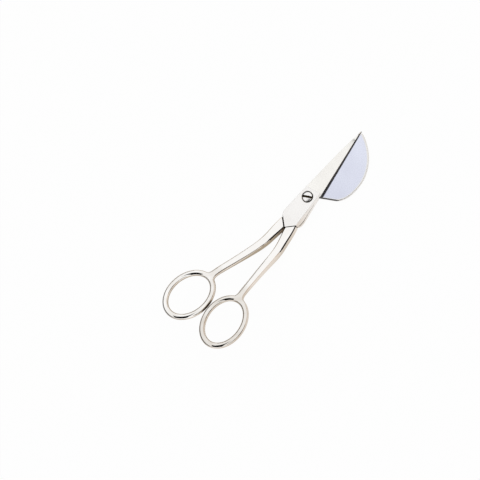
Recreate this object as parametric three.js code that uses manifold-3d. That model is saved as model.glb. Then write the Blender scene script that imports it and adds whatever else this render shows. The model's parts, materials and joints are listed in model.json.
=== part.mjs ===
// Applique scissors: a pointed half over a duckbill half, held by one slotted pivot screw.
//
// Each half is one forging: blade, pivot plate, cranked shank and finger bow. The plates are
// half as thick as the shanks, so the two halves interlock at a V-shaped shoulder and close flush.
// The handles are cranked upwards, so that the flat duckbill can lie on the cloth.
//
// Frame while modelling: the pivot axis is Z, the mating faces meet at z = 0, +X points along the
// blades to the tips and +Y to the left. At the end the part is stood on z = 0, centred on its box.

import * as THREE from "three";
import { mergeVertices } from "three/addons/utils/BufferGeometryUtils.js";
import Module from "manifold-3d";

const wasm = await Module();
wasm.setup();

// Driving sizes in millimetres, angles in degrees

// Pivot plates
const PLATE_T = 2.6; // thickness of each half at the pivot
const PLATE_HALF_W = 5.2; // pivot axis to the plate's edge on the cutting side
const PLATE_FRONT = 6; // pivot axis to the line where the ground blade begins
const PLATE_FRONT_SLANT = 1.5; // that line leans back by this much across the plate
const PLATE_EDGE_R = 0.35; // rounding of the plate's outer edges
const RIDE_GAP = 0.1; // running gap between the mating faces
const SHOULDER_W = 6.4; // pivot axis to the plate's widest point, on the spine side
const SHOULDER_BACK = 12.5; // pivot axis back to that widest point
const SHOULDER_BULGE = 0.2; // how far the rounded shoulder pulls past its widest point
const SHOULDER_ROUND = 1; // how far ahead of the wing's corner the shoulder starts to turn in
const V_BACK = 22; // pivot axis back to the point of the V
const V_HALF_ANGLE = 48; // half angle of the V
const V_GAP = 0.3; // clearance between a plate's V and the other half's shoulder

// Pointed blade
const HEEL = 4.3; // pivot axis forward to the heel of the cutting edges
const BLADE_REACH = 48.6; // pivot axis forward to the pointed tip
const HEEL_EDGE_Y = 6.6; // pivot axis to the pointed blade's cutting edge, at the heel
const TIP_Y = 1.5; // the tip lies this far to the right of the pivot axis
const TIP_W = 0.4; // width left at the tip
const SPINE_DROP = 0.9; // how far the spine bends down to the point from its straight line
const SPINE_DROP_FROM = 28; // pivot axis forward to where the spine starts to bend
const SPINE_DROP_POWER = 1.6; // how the bend grows towards the tip
const BLADE_ROOT_T = 2.5; // thickness at the spine, at the heel
const BLADE_TIP_T = 0.8; // thickness at the spine, at the tip
const BEVEL_W = 0.9; // width of the cutting bevel in plan, at the heel
const BEVEL_SHARE = 0.8; // height of the bevel as a share of the spine's thickness
const BEVEL_MOST = 0.45; // near the tip the bevel keeps to this share of the blade's width
const SPINE_CHAMFER = 0.3; // chamfer along the spine
const CHAMFER_MOST = 0.25; // near the tip the chamfer keeps to this share of the blade's width
const HOLLOW = 0.2; // depth of the hollow-ground inner face at the heel

// Duckbill blade
const DUCK_TIP = 48.1; // pivot axis forward to the duckbill's tip
const DUCK_TIP_Y = 2.1; // that tip lies this far to the right
const DUCK_HEEL_EDGE_Y = 4.4; // pivot axis to the duckbill's cutting edge, at the heel
const DUCK_WIDEST = 23; // pivot axis forward to the widest point of the rim
const DUCK_W = 20; // pivot axis out to the rim's widest point
const DUCK_CORNER = 7.6; // pivot axis forward to the rear corner of the rim
const DUCK_CORNER_Y = 13.3; // pivot axis out to that corner
const DUCK_RIM_T = 1.5; // thickness at the rim's widest point
const DUCK_RIM_R = 0.4; // rounding of the rim
const DUCK_BACK_BEVEL = 1; // width of the bevel along the straight rear edge, in plan
const DUCK_BACK_LEAN = 50; // lean of that bevel from level
const DUCK_EDGE_LEAN = 24; // lean of the duckbill's cutting bevel from upright
const DUCK_LIFT = 1.1; // the underside lifts by this much towards the tip
const DUCK_LIFT_LENGTH = 15; // length of that lift
const DUCK_STOCK = 2; // stock beyond the cutting edge, before its bevel is ground
// Fullness of the rim's two curves: shares of the way from the first named point to the second
const RIM_TIP_X = 0.86; // widest point to tip, where the curve leaves the tip
const RIM_TIP_Y = 0.53;
const RIM_FRONT_X = 0.48; // widest point to tip, where the curve arrives at the widest point
const RIM_BACK_X = 0.42; // corner to widest point, where the rear curve leaves the widest point
const RIM_CORNER_X = 0.5; // how far the rear curve follows the rear edge's line past the corner
const RIM_CORNER_Y = 0.48;

// Shanks
const CROTCH_GAP = 0.6; // gap between the two shanks where they leave the V
const SHANK_ROOT_W = 5.8; // width of a shank where it leaves the V
const SHANK_W = 5; // width of a shank along its ramp
const NECK_W = 4.4; // width where the shank meets the bow
const SHANK_STEP = 0.25; // the shank's flats stand this far below the plate's face
const SHANK_WAIST = 0.4; // the shanks' lines curve inwards by this much between the V and the bows
const ROOT_ROUND = 0.5; // rounding of the shank's corners at the V
const RAMP_ROUND = 1.1; // rounding of its corners along the ramp
const ROOT_LENGTH = 10; // length over which the root narrows to the ramp's width
const SHANK_EMBED = 8; // length of the shank inside its own plate
const CRANK_BACK = 36; // pivot axis back to the crank
const RAMP_ANGLE = 30; // climb of the ramp
const CRANK_R = 18; // radius of the bend at the crank
const LEVEL_R = 16; // radius of the bend where the ramp levels off
const BOW_FILLET_TURN = 21; // how far round the bow its blend into the neck reaches

// Bows
const BOW_BACK = 85.6; // pivot axis back to the bow's centre
const BOW_RISE = 21.3; // mating plane up to the bow's centre
const BOW_PITCH = 10; // climb of the bow's plane towards the rear
const BOW_A = 13.4; // half length of the finger opening
const BOW_B = 9.9; // half width of the finger opening
const BOW_WIRE_W = 3.4; // section of the bow, across
const BOW_WIRE_H = 3.5; // section of the bow, in height
const BOW_FLAT = 0.15; // half of the flat that is left on the section's faces
const BOWS_GAP = 0.4; // gap between the two bows when the blades are shut

// Pivot screw
const HEAD_R = 2.8; // radius of the screw's head
const HEAD_H = 1.2; // height of the head at its rim
const HEAD_DOME = 0.35; // rise of the head's dome above the rim
const HEAD_SUNK = 1.25; // depth of the head's seat in the pointed half's plate
const HEAD_GAP = 0.35; // gap round the head in its seat
const SLOT_W = 0.9; // width of the driver slot
const SLOT_DEPTH = 0.9; // depth of the slot below the top of the dome
const SLOT_TURN = 114; // where the slot stopped, from the blades' direction
const PIN_R = 1.8; // radius of the screw's smooth shoulder
const THREAD_R = 1.55; // radius of the screw's thread
const PIN_CLEARANCE = 0.06; // running clearance of the shoulder in the pointed half
const THREAD_CLEARANCE = 0.05; // gap between the screw's thread and the tapped hole
const SCREW_END_SHY = 0.15; // the screw's end stays this far inside the duckbill half's face
const SCREW_END_CHAMFER = 0.3; // chamfer round the screw's end

// Facets
const ROUND_STEPS = 5;
const BOW_STEPS = 64;
const SHANK_STEPS = 38;
const BLEND_STEPS = 8;
const BLADE_STEPS = 16;
const HOLLOW_STEPS = 6;
const EDGE_STEPS = 3;
const SHOULDER_STEPS = 6;
const RIM_STEPS = 20;
const ROUND_SIDES = 48;
const DOME_STEPS = 5;
const MERGE = 1e-4; // corners closer than this are one
const SPLAY_PASSES = 6; // rounds in which the splay and the bows' spacing settle on each other
const FAR = 200; // reach of the cutting blocks, beyond every solid

const rad = THREE.MathUtils.degToRad;
const lerp = THREE.MathUtils.lerp;
const smooth = THREE.MathUtils.smoothstep;
const V3 = (x, y, z) => new THREE.Vector3(x, y, z);

// Solids from closed geometries, and back

function solid(geometry) {
  const bare = geometry.clone();
  bare.deleteAttribute("normal");
  bare.deleteAttribute("uv");
  const merged = mergeVertices(bare, MERGE);
  const mesh = new wasm.Mesh({
    numProp: 3,
    vertProperties: merged.attributes.position.array,
    triVerts: new Uint32Array(merged.index.array),
  });
  return new wasm.Manifold(mesh);
}

function geometryOf(made) {
  const mesh = made.getMesh();
  const geometry = new THREE.BufferGeometry();
  geometry.setAttribute("position", new THREE.BufferAttribute(mesh.vertProperties, 3));
  geometry.setIndex(new THREE.BufferAttribute(mesh.triVerts, 1));
  geometry.computeVertexNormals();
  return geometry;
}

// Skins a row of closed loops, with a flat cap on each end.
function loft(loops) {
  const sides = loops[0].length;
  const points = loops.flat();
  const index = [];
  for (let row = 0; row < loops.length - 1; row++) {
    const here = row * sides;
    const next = here + sides;
    for (let i = 0; i < sides; i++) {
      const j = (i + 1) % sides;
      index.push(here + i, here + j, next + j, here + i, next + j, next + i);
    }
  }
  for (const first of [0, (loops.length - 1) * sides]) {
    const loop = points.slice(first, first + sides);
    const middle = loop.reduce((sum, p) => sum.add(p), V3(0, 0, 0)).divideScalar(sides);
    const centre = points.push(middle) - 1;
    for (let i = 0; i < sides; i++) {
      const j = (i + 1) % sides;
      const pair = first === 0 ? [first + j, first + i] : [first + i, first + j];
      index.push(centre, ...pair);
    }
  }
  const geometry = new THREE.BufferGeometry().setFromPoints(points);
  geometry.setIndex(index);
  return facingOut(geometry);
}

// Turns a closed geometry's faces round if they point inwards.
function facingOut(geometry) {
  const p = geometry.attributes.position;
  const index = geometry.index.array;
  let volume = 0;
  const [a, b, c] = [V3(), V3(), V3()];
  for (let i = 0; i < index.length; i += 3) {
    a.fromBufferAttribute(p, index[i]);
    b.fromBufferAttribute(p, index[i + 1]);
    c.fromBufferAttribute(p, index[i + 2]);
    volume += a.dot(b.cross(c));
  }
  if (volume < 0) {
    for (let i = 0; i < index.length; i += 3) {
      [index[i + 1], index[i + 2]] = [index[i + 2], index[i + 1]];
    }
  }
  return geometry;
}

// A slab over a plan outline with a hole, its edges rounded. At each plan point, section(p) gives the
// half height and how far the rounding reaches inwards and downwards; place(p, h) sets it in space.
// The first points of the outline face the last ones across a strip that may bend.
function roundedSlab({ contour, hole, paired }, section, place) {
  const points = [];
  const index = [];
  const faces = [[], []];
  for (const loop of [contour, hole]) {
    const n = loop.length;
    const base = points.length;
    const rows = 2 * (ROUND_STEPS + 1);
    for (let row = 0; row < rows; row++) {
      const upper = row > ROUND_STEPS;
      const turn = ((upper ? rows - 1 - row : row) / ROUND_STEPS) * (Math.PI / 2);
      loop.forEach((p, i) => {
        const tangent = loop[(i + 1) % n].clone().sub(loop[(i + n - 1) % n]).normalize();
        const { half, reach, drop } = section(p);
        const inset = reach * (1 - Math.sin(turn));
        const height = half - drop + drop * Math.cos(turn);
        const moved = new THREE.Vector2(p.x - tangent.y * inset, p.y + tangent.x * inset);
        points.push(place(moved, upper ? height : -height));
        if (row === 0) faces[loop === contour ? 0 : 1].push(moved);
      });
    }
    for (let row = 0; row < rows - 1; row++) {
      const here = base + row * n;
      for (let i = 0; i < n; i++) {
        const j = (i + 1) % n;
        index.push(here + i, here + j, here + n + j, here + i, here + n + j, here + n + i);
      }
    }
  }
  const count = contour.length;
  const lift = 2 * ROUND_STEPS + 1;
  const bottom = (i) => (i < count ? i : count * (lift + 1) + i - count);
  const top = (i) => bottom(i) + lift * (i < count ? count : hole.length);
  const cap = (a, b, c) => index.push(top(a), top(b), top(c), bottom(c), bottom(b), bottom(a));
  for (let i = 0; i < paired; i++) {
    cap(i, i + 1, count - 2 - i);
    cap(i, count - 2 - i, count - 1 - i);
  }
  const eye = faces[0].slice(paired, count - paired);
  const eyeIndex = (i) => (i < eye.length ? i + paired : i - eye.length + count);
  for (const [a, b, c] of THREE.ShapeUtils.triangulateShape(eye, [faces[1]])) {
    cap(eyeIndex(a), eyeIndex(b), eyeIndex(c));
  }
  const geometry = new THREE.BufferGeometry().setFromPoints(points);
  geometry.setIndex(index);
  return facingOut(geometry);
}

// Where each handle lies: the shank runs straight, in plan, from the V's root to the bow's centre

const rootY = CROTCH_GAP / 2 + SHANK_ROOT_W / 2;
const pitch = rad(BOW_PITCH);
const climb = rad(RAMP_ANGLE);
const outerA = BOW_A + BOW_WIRE_W;
const outerB = BOW_B + BOW_WIRE_W;
let splay = 0;
let bowY = 0;
for (let pass = 0; pass < SPLAY_PASSES; pass++) {
  const sideways = Math.hypot(outerA * Math.sin(splay) * Math.cos(pitch), outerB * Math.cos(splay));
  bowY = sideways + BOWS_GAP / 2;
  splay = Math.atan2(bowY - rootY, BOW_BACK - V_BACK);
}
const rearward = V3(-Math.cos(splay), Math.sin(splay), 0); // along the left shank, in plan
const outward = V3(Math.sin(splay), Math.cos(splay), 0); // across the left shank, in plan
const up = V3(0, 0, 1);
const alongShank = (x) => x / Math.cos(splay); // distance back from the pivot to length along the shank
const rootPoint = V3(0, rootY - V_BACK * Math.tan(splay), -SHANK_STEP / 2); // the shank's line at x = 0

// The shank's side view: level, a bend up, the ramp, a bend back, and the bow's straight climb
const crankAt = alongShank(CRANK_BACK);
const bowAt = alongShank(BOW_BACK);
const levelAt =
  (BOW_RISE - bowAt * Math.tan(pitch) + crankAt * Math.tan(climb)) / (Math.tan(climb) - Math.tan(pitch));
const crankTangent = CRANK_R * Math.tan(climb / 2);
const levelTangent = LEVEL_R * Math.tan((climb - pitch) / 2);
const rampLength = (levelAt - crankAt) / Math.cos(climb);
const bentView = [
  { length: crankAt - crankTangent, turn: 0 },
  { length: CRANK_R * climb, turn: climb },
  { length: rampLength - crankTangent - levelTangent, turn: 0 },
  { length: LEVEL_R * (climb - pitch), turn: pitch - climb },
];
const sideView = [...bentView, { length: Infinity, turn: 0 }];
const bentLength = bentView.reduce((sum, stretch) => sum + stretch.length, 0);
const bowRun = bentLength + (bowAt - levelAt) / Math.cos(pitch) - levelTangent;

// Follows the side view for a run from the pivot: distance along, height and slope there.
function follow(run) {
  let along = 0;
  let height = 0;
  let slope = 0;
  let left = run;
  for (const stretch of sideView) {
    const step = Math.min(left, stretch.length);
    if (stretch.turn === 0) {
      along += step * Math.cos(slope);
      height += step * Math.sin(slope);
    } else {
      const radius = stretch.length / stretch.turn;
      const next = slope + step / radius;
      along += radius * (Math.sin(next) - Math.sin(slope));
      height += radius * (Math.cos(slope) - Math.cos(next));
      slope = next;
    }
    left -= step;
    if (left <= 0) break;
  }
  return { along, height, slope };
}

const rootRun = alongShank(V_BACK);
const startRun = rootRun - SHANK_EMBED;
const rampRun = rootRun + ROOT_LENGTH;

// The blend from the neck into the bow: it leaves the oval along its tangent
const blendTurn = Math.PI - rad(BOW_FILLET_TURN);
const blendEnd = new THREE.Vector2(bowRun + outerA * Math.cos(blendTurn), outerB * Math.sin(blendTurn));
const blendSlope = (-outerA * Math.sin(blendTurn)) / (outerB * Math.cos(blendTurn));
const blendCorner = new THREE.Vector2(blendEnd.x + blendSlope * (NECK_W / 2 - blendEnd.y), NECK_W / 2);
const neckRun = blendCorner.x - blendCorner.distanceTo(blendEnd);

// Half width of the shank along its run: wide at the plate, narrowing to the ramp and to the neck.
function shankHalfWidth(run) {
  const ramp = lerp(SHANK_ROOT_W, SHANK_W, smooth(run, rootRun, rampRun));
  const widening = (SHANK_ROOT_W - SHANK_W) * (1 - smooth(run, startRun, rootRun));
  return lerp(ramp + widening, NECK_W, smooth(run, rampRun, neckRun)) / 2;
}

// Plan outline of the handle as forged flat: the shank's sides, blended into the oval of the bow.
function handlePlan() {
  const side = Array.from({ length: SHANK_STEPS }, (_, i) => {
    const run = lerp(startRun, neckRun, i / SHANK_STEPS);
    return new THREE.Vector2(run, shankHalfWidth(run));
  });
  const neck = new THREE.Vector2(neckRun, NECK_W / 2);
  const blend = new THREE.QuadraticBezierCurve(neck, blendCorner, blendEnd).getPoints(BLEND_STEPS);
  const nearSide = [...side, ...blend.slice(0, -1)];
  const farSide = nearSide.toReversed().map((p) => new THREE.Vector2(p.x, -p.y));
  const outer = new THREE.EllipseCurve(bowRun, 0, outerA, outerB, blendTurn, -blendTurn, true);
  const inner = new THREE.EllipseCurve(bowRun, 0, BOW_A, BOW_B, 0, 2 * Math.PI);
  const contour = [...nearSide, ...outer.getPoints(BOW_STEPS), ...farSide];
  const hole = inner.getPoints(BOW_STEPS).slice(1);
  return { contour: contour.toReversed(), hole: hole.toReversed(), paired: SHANK_STEPS };
}

// The left handle: shank and bow in one, boxy at the plate and oval from the neck on.
function handleSolid() {
  const rootHalf = PLATE_T - SHANK_STEP / 2;
  const crankRun = sideView[0].length;
  const section = (p) => {
    const narrowed = smooth(p.x, rootRun, rampRun);
    const necked = smooth(p.x, rampRun, neckRun);
    const half = lerp(rootHalf, BOW_WIRE_H / 2, smooth(p.x, crankRun, neckRun));
    const reach = lerp(lerp(ROOT_ROUND, RAMP_ROUND, narrowed), BOW_WIRE_W / 2 - BOW_FLAT, necked);
    const drop = lerp(lerp(ROOT_ROUND, RAMP_ROUND, narrowed), BOW_WIRE_H / 2 - BOW_FLAT, necked);
    return { half, reach, drop };
  };
  const place = (p, h) => {
    const at = follow(p.x);
    const share = THREE.MathUtils.clamp((p.x - rootRun) / (neckRun - rootRun), 0, 1);
    const waist = SHANK_WAIST * Math.sin(Math.PI * share) ** 2;
    return rootPoint
      .clone()
      .addScaledVector(rearward, at.along - Math.sin(at.slope) * h)
      .addScaledVector(outward, p.y - waist)
      .addScaledVector(up, at.height + Math.cos(at.slope) * h);
  };
  return solid(roundedSlab(handlePlan(), section, place));
}

// Plate outline of the pointed half, seen from above: the spine side is on the left

const tipSpine = -TIP_Y + TIP_W + SPINE_DROP;
const spineSlope = (SHOULDER_W - tipSpine) / (SHOULDER_BACK + BLADE_REACH);
const spineLine = (x) => SHOULDER_W - spineSlope * (x + SHOULDER_BACK);
const vTan = Math.tan(rad(V_HALF_ANGLE));
const wingX = -V_BACK + PLATE_HALF_W / vTan;

function plateOutline() {
  const shape = new THREE.Shape();
  const frontLeft = PLATE_FRONT - PLATE_FRONT_SLANT;
  shape.moveTo(PLATE_FRONT, -PLATE_HALF_W);
  shape.lineTo(frontLeft, spineLine(frontLeft));
  shape.lineTo(-SHOULDER_BACK, SHOULDER_W);
  shape.quadraticCurveTo(wingX + SHOULDER_ROUND, SHOULDER_W + SHOULDER_BULGE, wingX, PLATE_HALF_W);
  shape.lineTo(-V_BACK, 0);
  shape.lineTo(wingX, -PLATE_HALF_W);
  shape.closePath();
  return shape;
}

// A box that spans x, y and z ranges, for planing a face flat.
function block([x0, x1], [y0, y1], [z0, z1]) {
  const geometry = new THREE.BoxGeometry(x1 - x0, y1 - y0, z1 - z0);
  geometry.translate((x0 + x1) / 2, (y0 + y1) / 2, (z0 + z1) / 2);
  return solid(geometry);
}

const belowMating = block([-FAR, FAR], [-FAR, FAR], [-FAR, RIDE_GAP / 2]);

// A pivot plate lying on the mating plane, with its outer edges rounded.
function plateSolid() {
  const geometry = new THREE.ExtrudeGeometry(plateOutline(), {
    depth: PLATE_T,
    bevelEnabled: true,
    bevelSize: PLATE_EDGE_R,
    bevelOffset: -PLATE_EDGE_R,
    bevelThickness: PLATE_EDGE_R,
    bevelSegments: EDGE_STEPS,
    curveSegments: SHOULDER_STEPS,
  });
  geometry.translate(0, 0, -PLATE_EDGE_R);
  return solid(geometry).subtract(belowMating);
}

// The space that the other half's plate needs under this half's shank.
function shoulderCut() {
  const apex = -V_BACK - V_GAP / Math.sin(rad(V_HALF_ANGLE));
  const wide = 3 * PLATE_HALF_W;
  const shape = new THREE.Shape();
  shape.moveTo(apex, 0);
  shape.lineTo(apex + wide / vTan, -wide);
  shape.lineTo(BLADE_REACH, -wide);
  shape.lineTo(BLADE_REACH, wide);
  shape.lineTo(apex + wide / vTan, wide);
  shape.closePath();
  const geometry = new THREE.ExtrudeGeometry(shape, { depth: FAR, bevelEnabled: false });
  geometry.translate(0, 0, RIDE_GAP / 2 - FAR);
  return solid(geometry);
}

// The pointed blade: a row of ground sections from the heel to the tip.
function pointedBlade() {
  const loops = [];
  for (let step = 0; step <= BLADE_STEPS; step++) {
    const share = step / BLADE_STEPS;
    const x = lerp(HEEL, BLADE_REACH, share);
    const bent = Math.max(0, (x - SPINE_DROP_FROM) / (BLADE_REACH - SPINE_DROP_FROM));
    const edge = lerp(-HEEL_EDGE_Y, -TIP_Y, share);
    const spine = spineLine(x) - SPINE_DROP * bent ** SPINE_DROP_POWER;
    const width = spine - edge;
    const thick = lerp(BLADE_ROOT_T, BLADE_TIP_T, share);
    const floor = RIDE_GAP / 2;
    const bevel = Math.min(BEVEL_W, BEVEL_MOST * width);
    const chamfer = Math.min(SPINE_CHAMFER, CHAMFER_MOST * width);
    const hollow = HOLLOW * Math.min(1, width / HEEL_EDGE_Y);
    const loop = [
      V3(x, edge, floor),
      V3(x, edge + bevel, floor + BEVEL_SHARE * (thick - floor)),
      V3(x, spine - chamfer, thick),
      V3(x, spine, thick - chamfer),
      V3(x, spine, floor),
    ];
    for (let i = 1; i < HOLLOW_STEPS; i++) {
      const across = i / HOLLOW_STEPS;
      loop.push(V3(x, lerp(spine, edge, across), floor + hollow * 4 * across * (1 - across)));
    }
    loops.push(loop);
  }
  return solid(loft(loops));
}

// A block that grinds away everything on the left of a plane. The plane passes through a point and
// runs along a direction in plan that may fall. A positive lean undercuts, a negative one slopes.
function grinder(through, along, lean, fall = 0) {
  const stone = new THREE.BoxGeometry(2 * FAR, FAR, 2 * FAR);
  stone.translate(0, FAR / 2, 0);
  stone.rotateX(-lean);
  stone.rotateY(fall);
  stone.rotateZ(Math.atan2(along.y, along.x));
  stone.translate(through.x, through.y, through.z);
  return solid(stone);
}

// The duckbill: a flat paddle whose inner face falls away from the cutting edge to the rim.
function duckbill() {
  const edgeAt = (x) => lerp(DUCK_HEEL_EDGE_Y, -DUCK_TIP_Y, (x - HEEL) / (DUCK_TIP - HEEL));
  const back = new THREE.Vector2(DUCK_CORNER - HEEL, HEEL_EDGE_Y - DUCK_CORNER_Y);
  const backSlope = -back.x / back.y;
  const shape = new THREE.Shape();
  shape.moveTo(DUCK_TIP, -DUCK_TIP_Y);
  shape.bezierCurveTo(
    lerp(DUCK_WIDEST, DUCK_TIP, RIM_TIP_X),
    lerp(-DUCK_W, -DUCK_TIP_Y, RIM_TIP_Y),
    lerp(DUCK_WIDEST, DUCK_TIP, RIM_FRONT_X),
    -DUCK_W,
    DUCK_WIDEST,
    -DUCK_W,
  );
  shape.bezierCurveTo(
    lerp(DUCK_CORNER, DUCK_WIDEST, RIM_BACK_X),
    -DUCK_W,
    DUCK_CORNER + RIM_CORNER_X * backSlope * (DUCK_W - DUCK_CORNER_Y),
    lerp(-DUCK_W, -DUCK_CORNER_Y, RIM_CORNER_Y),
    DUCK_CORNER,
    -DUCK_CORNER_Y,
  );
  shape.lineTo(HEEL - backSlope * HEEL_EDGE_Y, 0);
  shape.lineTo(HEEL, edgeAt(HEEL) + DUCK_STOCK);
  shape.lineTo(DUCK_TIP, edgeAt(DUCK_TIP) + DUCK_STOCK);
  shape.closePath();
  const depth = PLATE_T - RIDE_GAP / 2;
  const geometry = new THREE.ExtrudeGeometry(shape, {
    depth: depth - 2 * DUCK_RIM_R,
    bevelEnabled: true,
    bevelSize: DUCK_RIM_R,
    bevelOffset: -DUCK_RIM_R,
    bevelThickness: DUCK_RIM_R,
    bevelSegments: EDGE_STEPS,
    curveSegments: RIM_STEPS,
  });
  geometry.translate(0, 0, -PLATE_T + DUCK_RIM_R);
  // The inner face leans down from the cutting edge: upper points sink with their distance from it.
  const slope = (depth - DUCK_RIM_T) / (edgeAt(DUCK_WIDEST) + DUCK_W);
  const innerZ = (x, y) => -RIDE_GAP / 2 - slope * Math.max(0, edgeAt(x) - y);
  const p = geometry.attributes.position;
  for (let i = 0; i < p.count; i++) {
    if (p.getZ(i) < -PLATE_T + depth / 2) continue;
    p.setZ(i, p.getZ(i) + RIDE_GAP / 2 + innerZ(p.getX(i), p.getY(i)));
  }
  // The cutting bevel leans back from the cutting edge.
  const edge = new THREE.Vector2(DUCK_TIP - HEEL, edgeAt(DUCK_TIP) - edgeAt(HEEL));
  const edgeGrind = grinder(V3(HEEL, edgeAt(HEEL), -RIDE_GAP / 2), edge, rad(DUCK_EDGE_LEAN));
  // The straight rear edge is bevelled too, along the inner face as it falls to the corner.
  const inset = new THREE.Vector2(-back.y, back.x).normalize().multiplyScalar(DUCK_BACK_BEVEL);
  const heel = V3(HEEL + inset.x, -HEEL_EDGE_Y + inset.y, 0);
  heel.z = innerZ(heel.x, heel.y);
  const corner = V3(DUCK_CORNER + inset.x, -DUCK_CORNER_Y + inset.y, 0);
  corner.z = innerZ(corner.x, corner.y);
  const fall = Math.atan2(heel.z - corner.z, back.length());
  const backGrind = grinder(corner, back.clone().negate(), rad(DUCK_BACK_LEAN - 90), -fall);
  // The underside lifts to the tip, so that the point is thin and slides over the cloth.
  const lift = new THREE.BoxGeometry(FAR, FAR, FAR);
  lift.translate(FAR / 2, 0, -FAR / 2);
  lift.rotateY(-Math.atan2(DUCK_LIFT, DUCK_LIFT_LENGTH));
  lift.translate(DUCK_TIP - DUCK_LIFT_LENGTH, 0, -PLATE_T);
  return solid(geometry).subtract(edgeGrind).subtract(backGrind).subtract(solid(lift));
}

// A round cutter or pin along the pivot axis.
function rod(radius, z0, z1) {
  const geometry = new THREE.CylinderGeometry(radius, radius, z1 - z0, ROUND_SIDES);
  geometry.rotateX(Math.PI / 2);
  geometry.translate(0, 0, (z0 + z1) / 2);
  return solid(geometry);
}

const halfTurn = (made) => made.rotate([180, 0, 0]);
const mirrored = (made) => made.mirror([0, 1, 0]);

function pointedHalf() {
  const handle = mirrored(handleSolid()).subtract(shoulderCut());
  const seat = PLATE_T - HEAD_SUNK;
  return plateSolid()
    .add(pointedBlade())
    .add(handle)
    .subtract(rod(HEAD_R + HEAD_GAP, seat, FAR))
    .subtract(rod(PIN_R + PIN_CLEARANCE, -FAR, FAR));
}

function duckbillHalf() {
  const handle = handleSolid().subtract(halfTurn(shoulderCut()));
  return halfTurn(plateSolid())
    .add(duckbill())
    .add(handle)
    .subtract(rod(THREAD_R + THREAD_CLEARANCE, -FAR, FAR));
}

// The pivot screw: slotted domed head, smooth shoulder in the pointed half, thread in the other.
function pivotScrew() {
  const seat = PLATE_T - HEAD_SUNK + RIDE_GAP / 2;
  const rim = seat + HEAD_H;
  const end = -PLATE_T + SCREW_END_SHY;
  const step = RIDE_GAP / 2;
  const profile = [
    new THREE.Vector2(0, end),
    new THREE.Vector2(THREAD_R - SCREW_END_CHAMFER, end),
    new THREE.Vector2(THREAD_R, end + SCREW_END_CHAMFER),
    new THREE.Vector2(THREAD_R, step),
    new THREE.Vector2(PIN_R, step),
    new THREE.Vector2(PIN_R, seat),
    new THREE.Vector2(HEAD_R, seat),
    new THREE.Vector2(HEAD_R, rim),
  ];
  for (let i = 1; i < DOME_STEPS; i++) {
    const turn = (i / DOME_STEPS) * (Math.PI / 2);
    profile.push(new THREE.Vector2(HEAD_R * Math.cos(turn), rim + HEAD_DOME * Math.sin(turn)));
  }
  profile.push(new THREE.Vector2(0, rim + HEAD_DOME));
  const turned = new THREE.LatheGeometry(profile, ROUND_SIDES);
  turned.rotateX(Math.PI / 2);
  const slot = new THREE.BoxGeometry(4 * HEAD_R, SLOT_W, FAR);
  slot.translate(0, 0, rim + HEAD_DOME - SLOT_DEPTH + FAR / 2);
  slot.rotateZ(rad(SLOT_TURN));
  return solid(turned).subtract(solid(slot));
}

// Scene: one mesh per piece, stood on z = 0 and centred

const nickel = { color: 0xd9d4cc, roughness: 0.16, metalness: 1 };
const steel = { color: 0xc9c6c2, roughness: 0.25, metalness: 1 };
const pieces = [
  ["duckbill_half", duckbillHalf(), nickel],
  ["pointed_half", pointedHalf(), nickel],
  ["pivot_screw", pivotScrew(), steel],
];
const scissors = new THREE.Group();
for (const [name, made, finish] of pieces) {
  const mesh = new THREE.Mesh(geometryOf(made), new THREE.MeshStandardMaterial(finish));
  mesh.name = name;
  scissors.add(mesh);
}
const box = new THREE.Box3().setFromObject(scissors, true);
const middle = box.getCenter(V3());
const part = new THREE.Group();
scissors.position.set(-middle.x, -middle.y, -box.min.z);
part.add(scissors);

export default part;
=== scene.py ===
"""Looks of a pair of applique scissors.

Two nickel-plated forgings, a pointed half over a duckbill half, turn on one slotted screw. Every shape is
modelled in millimetres with the pivot as Z axis, the mating faces at z = 0 and the blades along +X. It is
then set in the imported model's frame.
"""

import json
import logging
import math
from dataclasses import dataclass, field
from enum import Enum
from functools import partial
from typing import Any, Callable, ClassVar, Iterable, Sequence, Union

import bmesh
import bpy
from bmesh.types import BMEdge, BMesh, BMFace, BMVert
from bpy.types import Material, Node, NodeSocket, NodeTree, Object, World
from mathutils import Matrix, Vector
from mathutils.geometry import interpolate_bezier


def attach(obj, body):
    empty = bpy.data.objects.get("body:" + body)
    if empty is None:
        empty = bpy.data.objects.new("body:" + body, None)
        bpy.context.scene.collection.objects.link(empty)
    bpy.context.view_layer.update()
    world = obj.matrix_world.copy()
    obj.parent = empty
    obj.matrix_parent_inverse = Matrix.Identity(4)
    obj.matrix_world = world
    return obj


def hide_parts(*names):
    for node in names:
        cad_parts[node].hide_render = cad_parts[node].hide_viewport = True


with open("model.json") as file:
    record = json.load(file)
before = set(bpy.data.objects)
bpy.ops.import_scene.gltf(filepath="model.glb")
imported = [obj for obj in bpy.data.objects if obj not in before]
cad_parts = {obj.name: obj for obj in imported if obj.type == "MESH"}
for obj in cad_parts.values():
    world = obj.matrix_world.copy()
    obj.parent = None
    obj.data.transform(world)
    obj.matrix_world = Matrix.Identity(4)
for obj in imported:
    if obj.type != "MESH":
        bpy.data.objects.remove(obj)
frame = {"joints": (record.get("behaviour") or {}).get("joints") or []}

Colour = tuple[float, float, float]
Shade = Union[Colour, NodeSocket]
Span = tuple[float, float]

log = logging.getLogger("applique_scissors")
UP = Vector((0.0, 0.0, 1.0))
HALF_TURN = Matrix.Rotation(math.pi, 4, "X")
PIVOT = Vector(frame["joints"][0]["pos_m"])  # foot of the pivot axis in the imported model's frame, in metres
WHITE: Colour = (1.0, 1.0, 1.0)
MM = 0.001  # one millimetre in metres
FAR = 200.0  # reach of the rooms that are cut out, beyond every solid, in mm
NEAR = 0.01  # distance within which two places count as one, in mm
DIGITS = 3  # decimals to which two places along the plate are matched
MERGE = 1e-4  # distance within which corners become one, in mm
GRIP = 1e-5  # distance within which a corner lies on a ground plane, in mm


def blend(start: float, end: float, share: float) -> float:
    """Goes from start to end by a share."""
    return start + (end - start) * share


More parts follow.
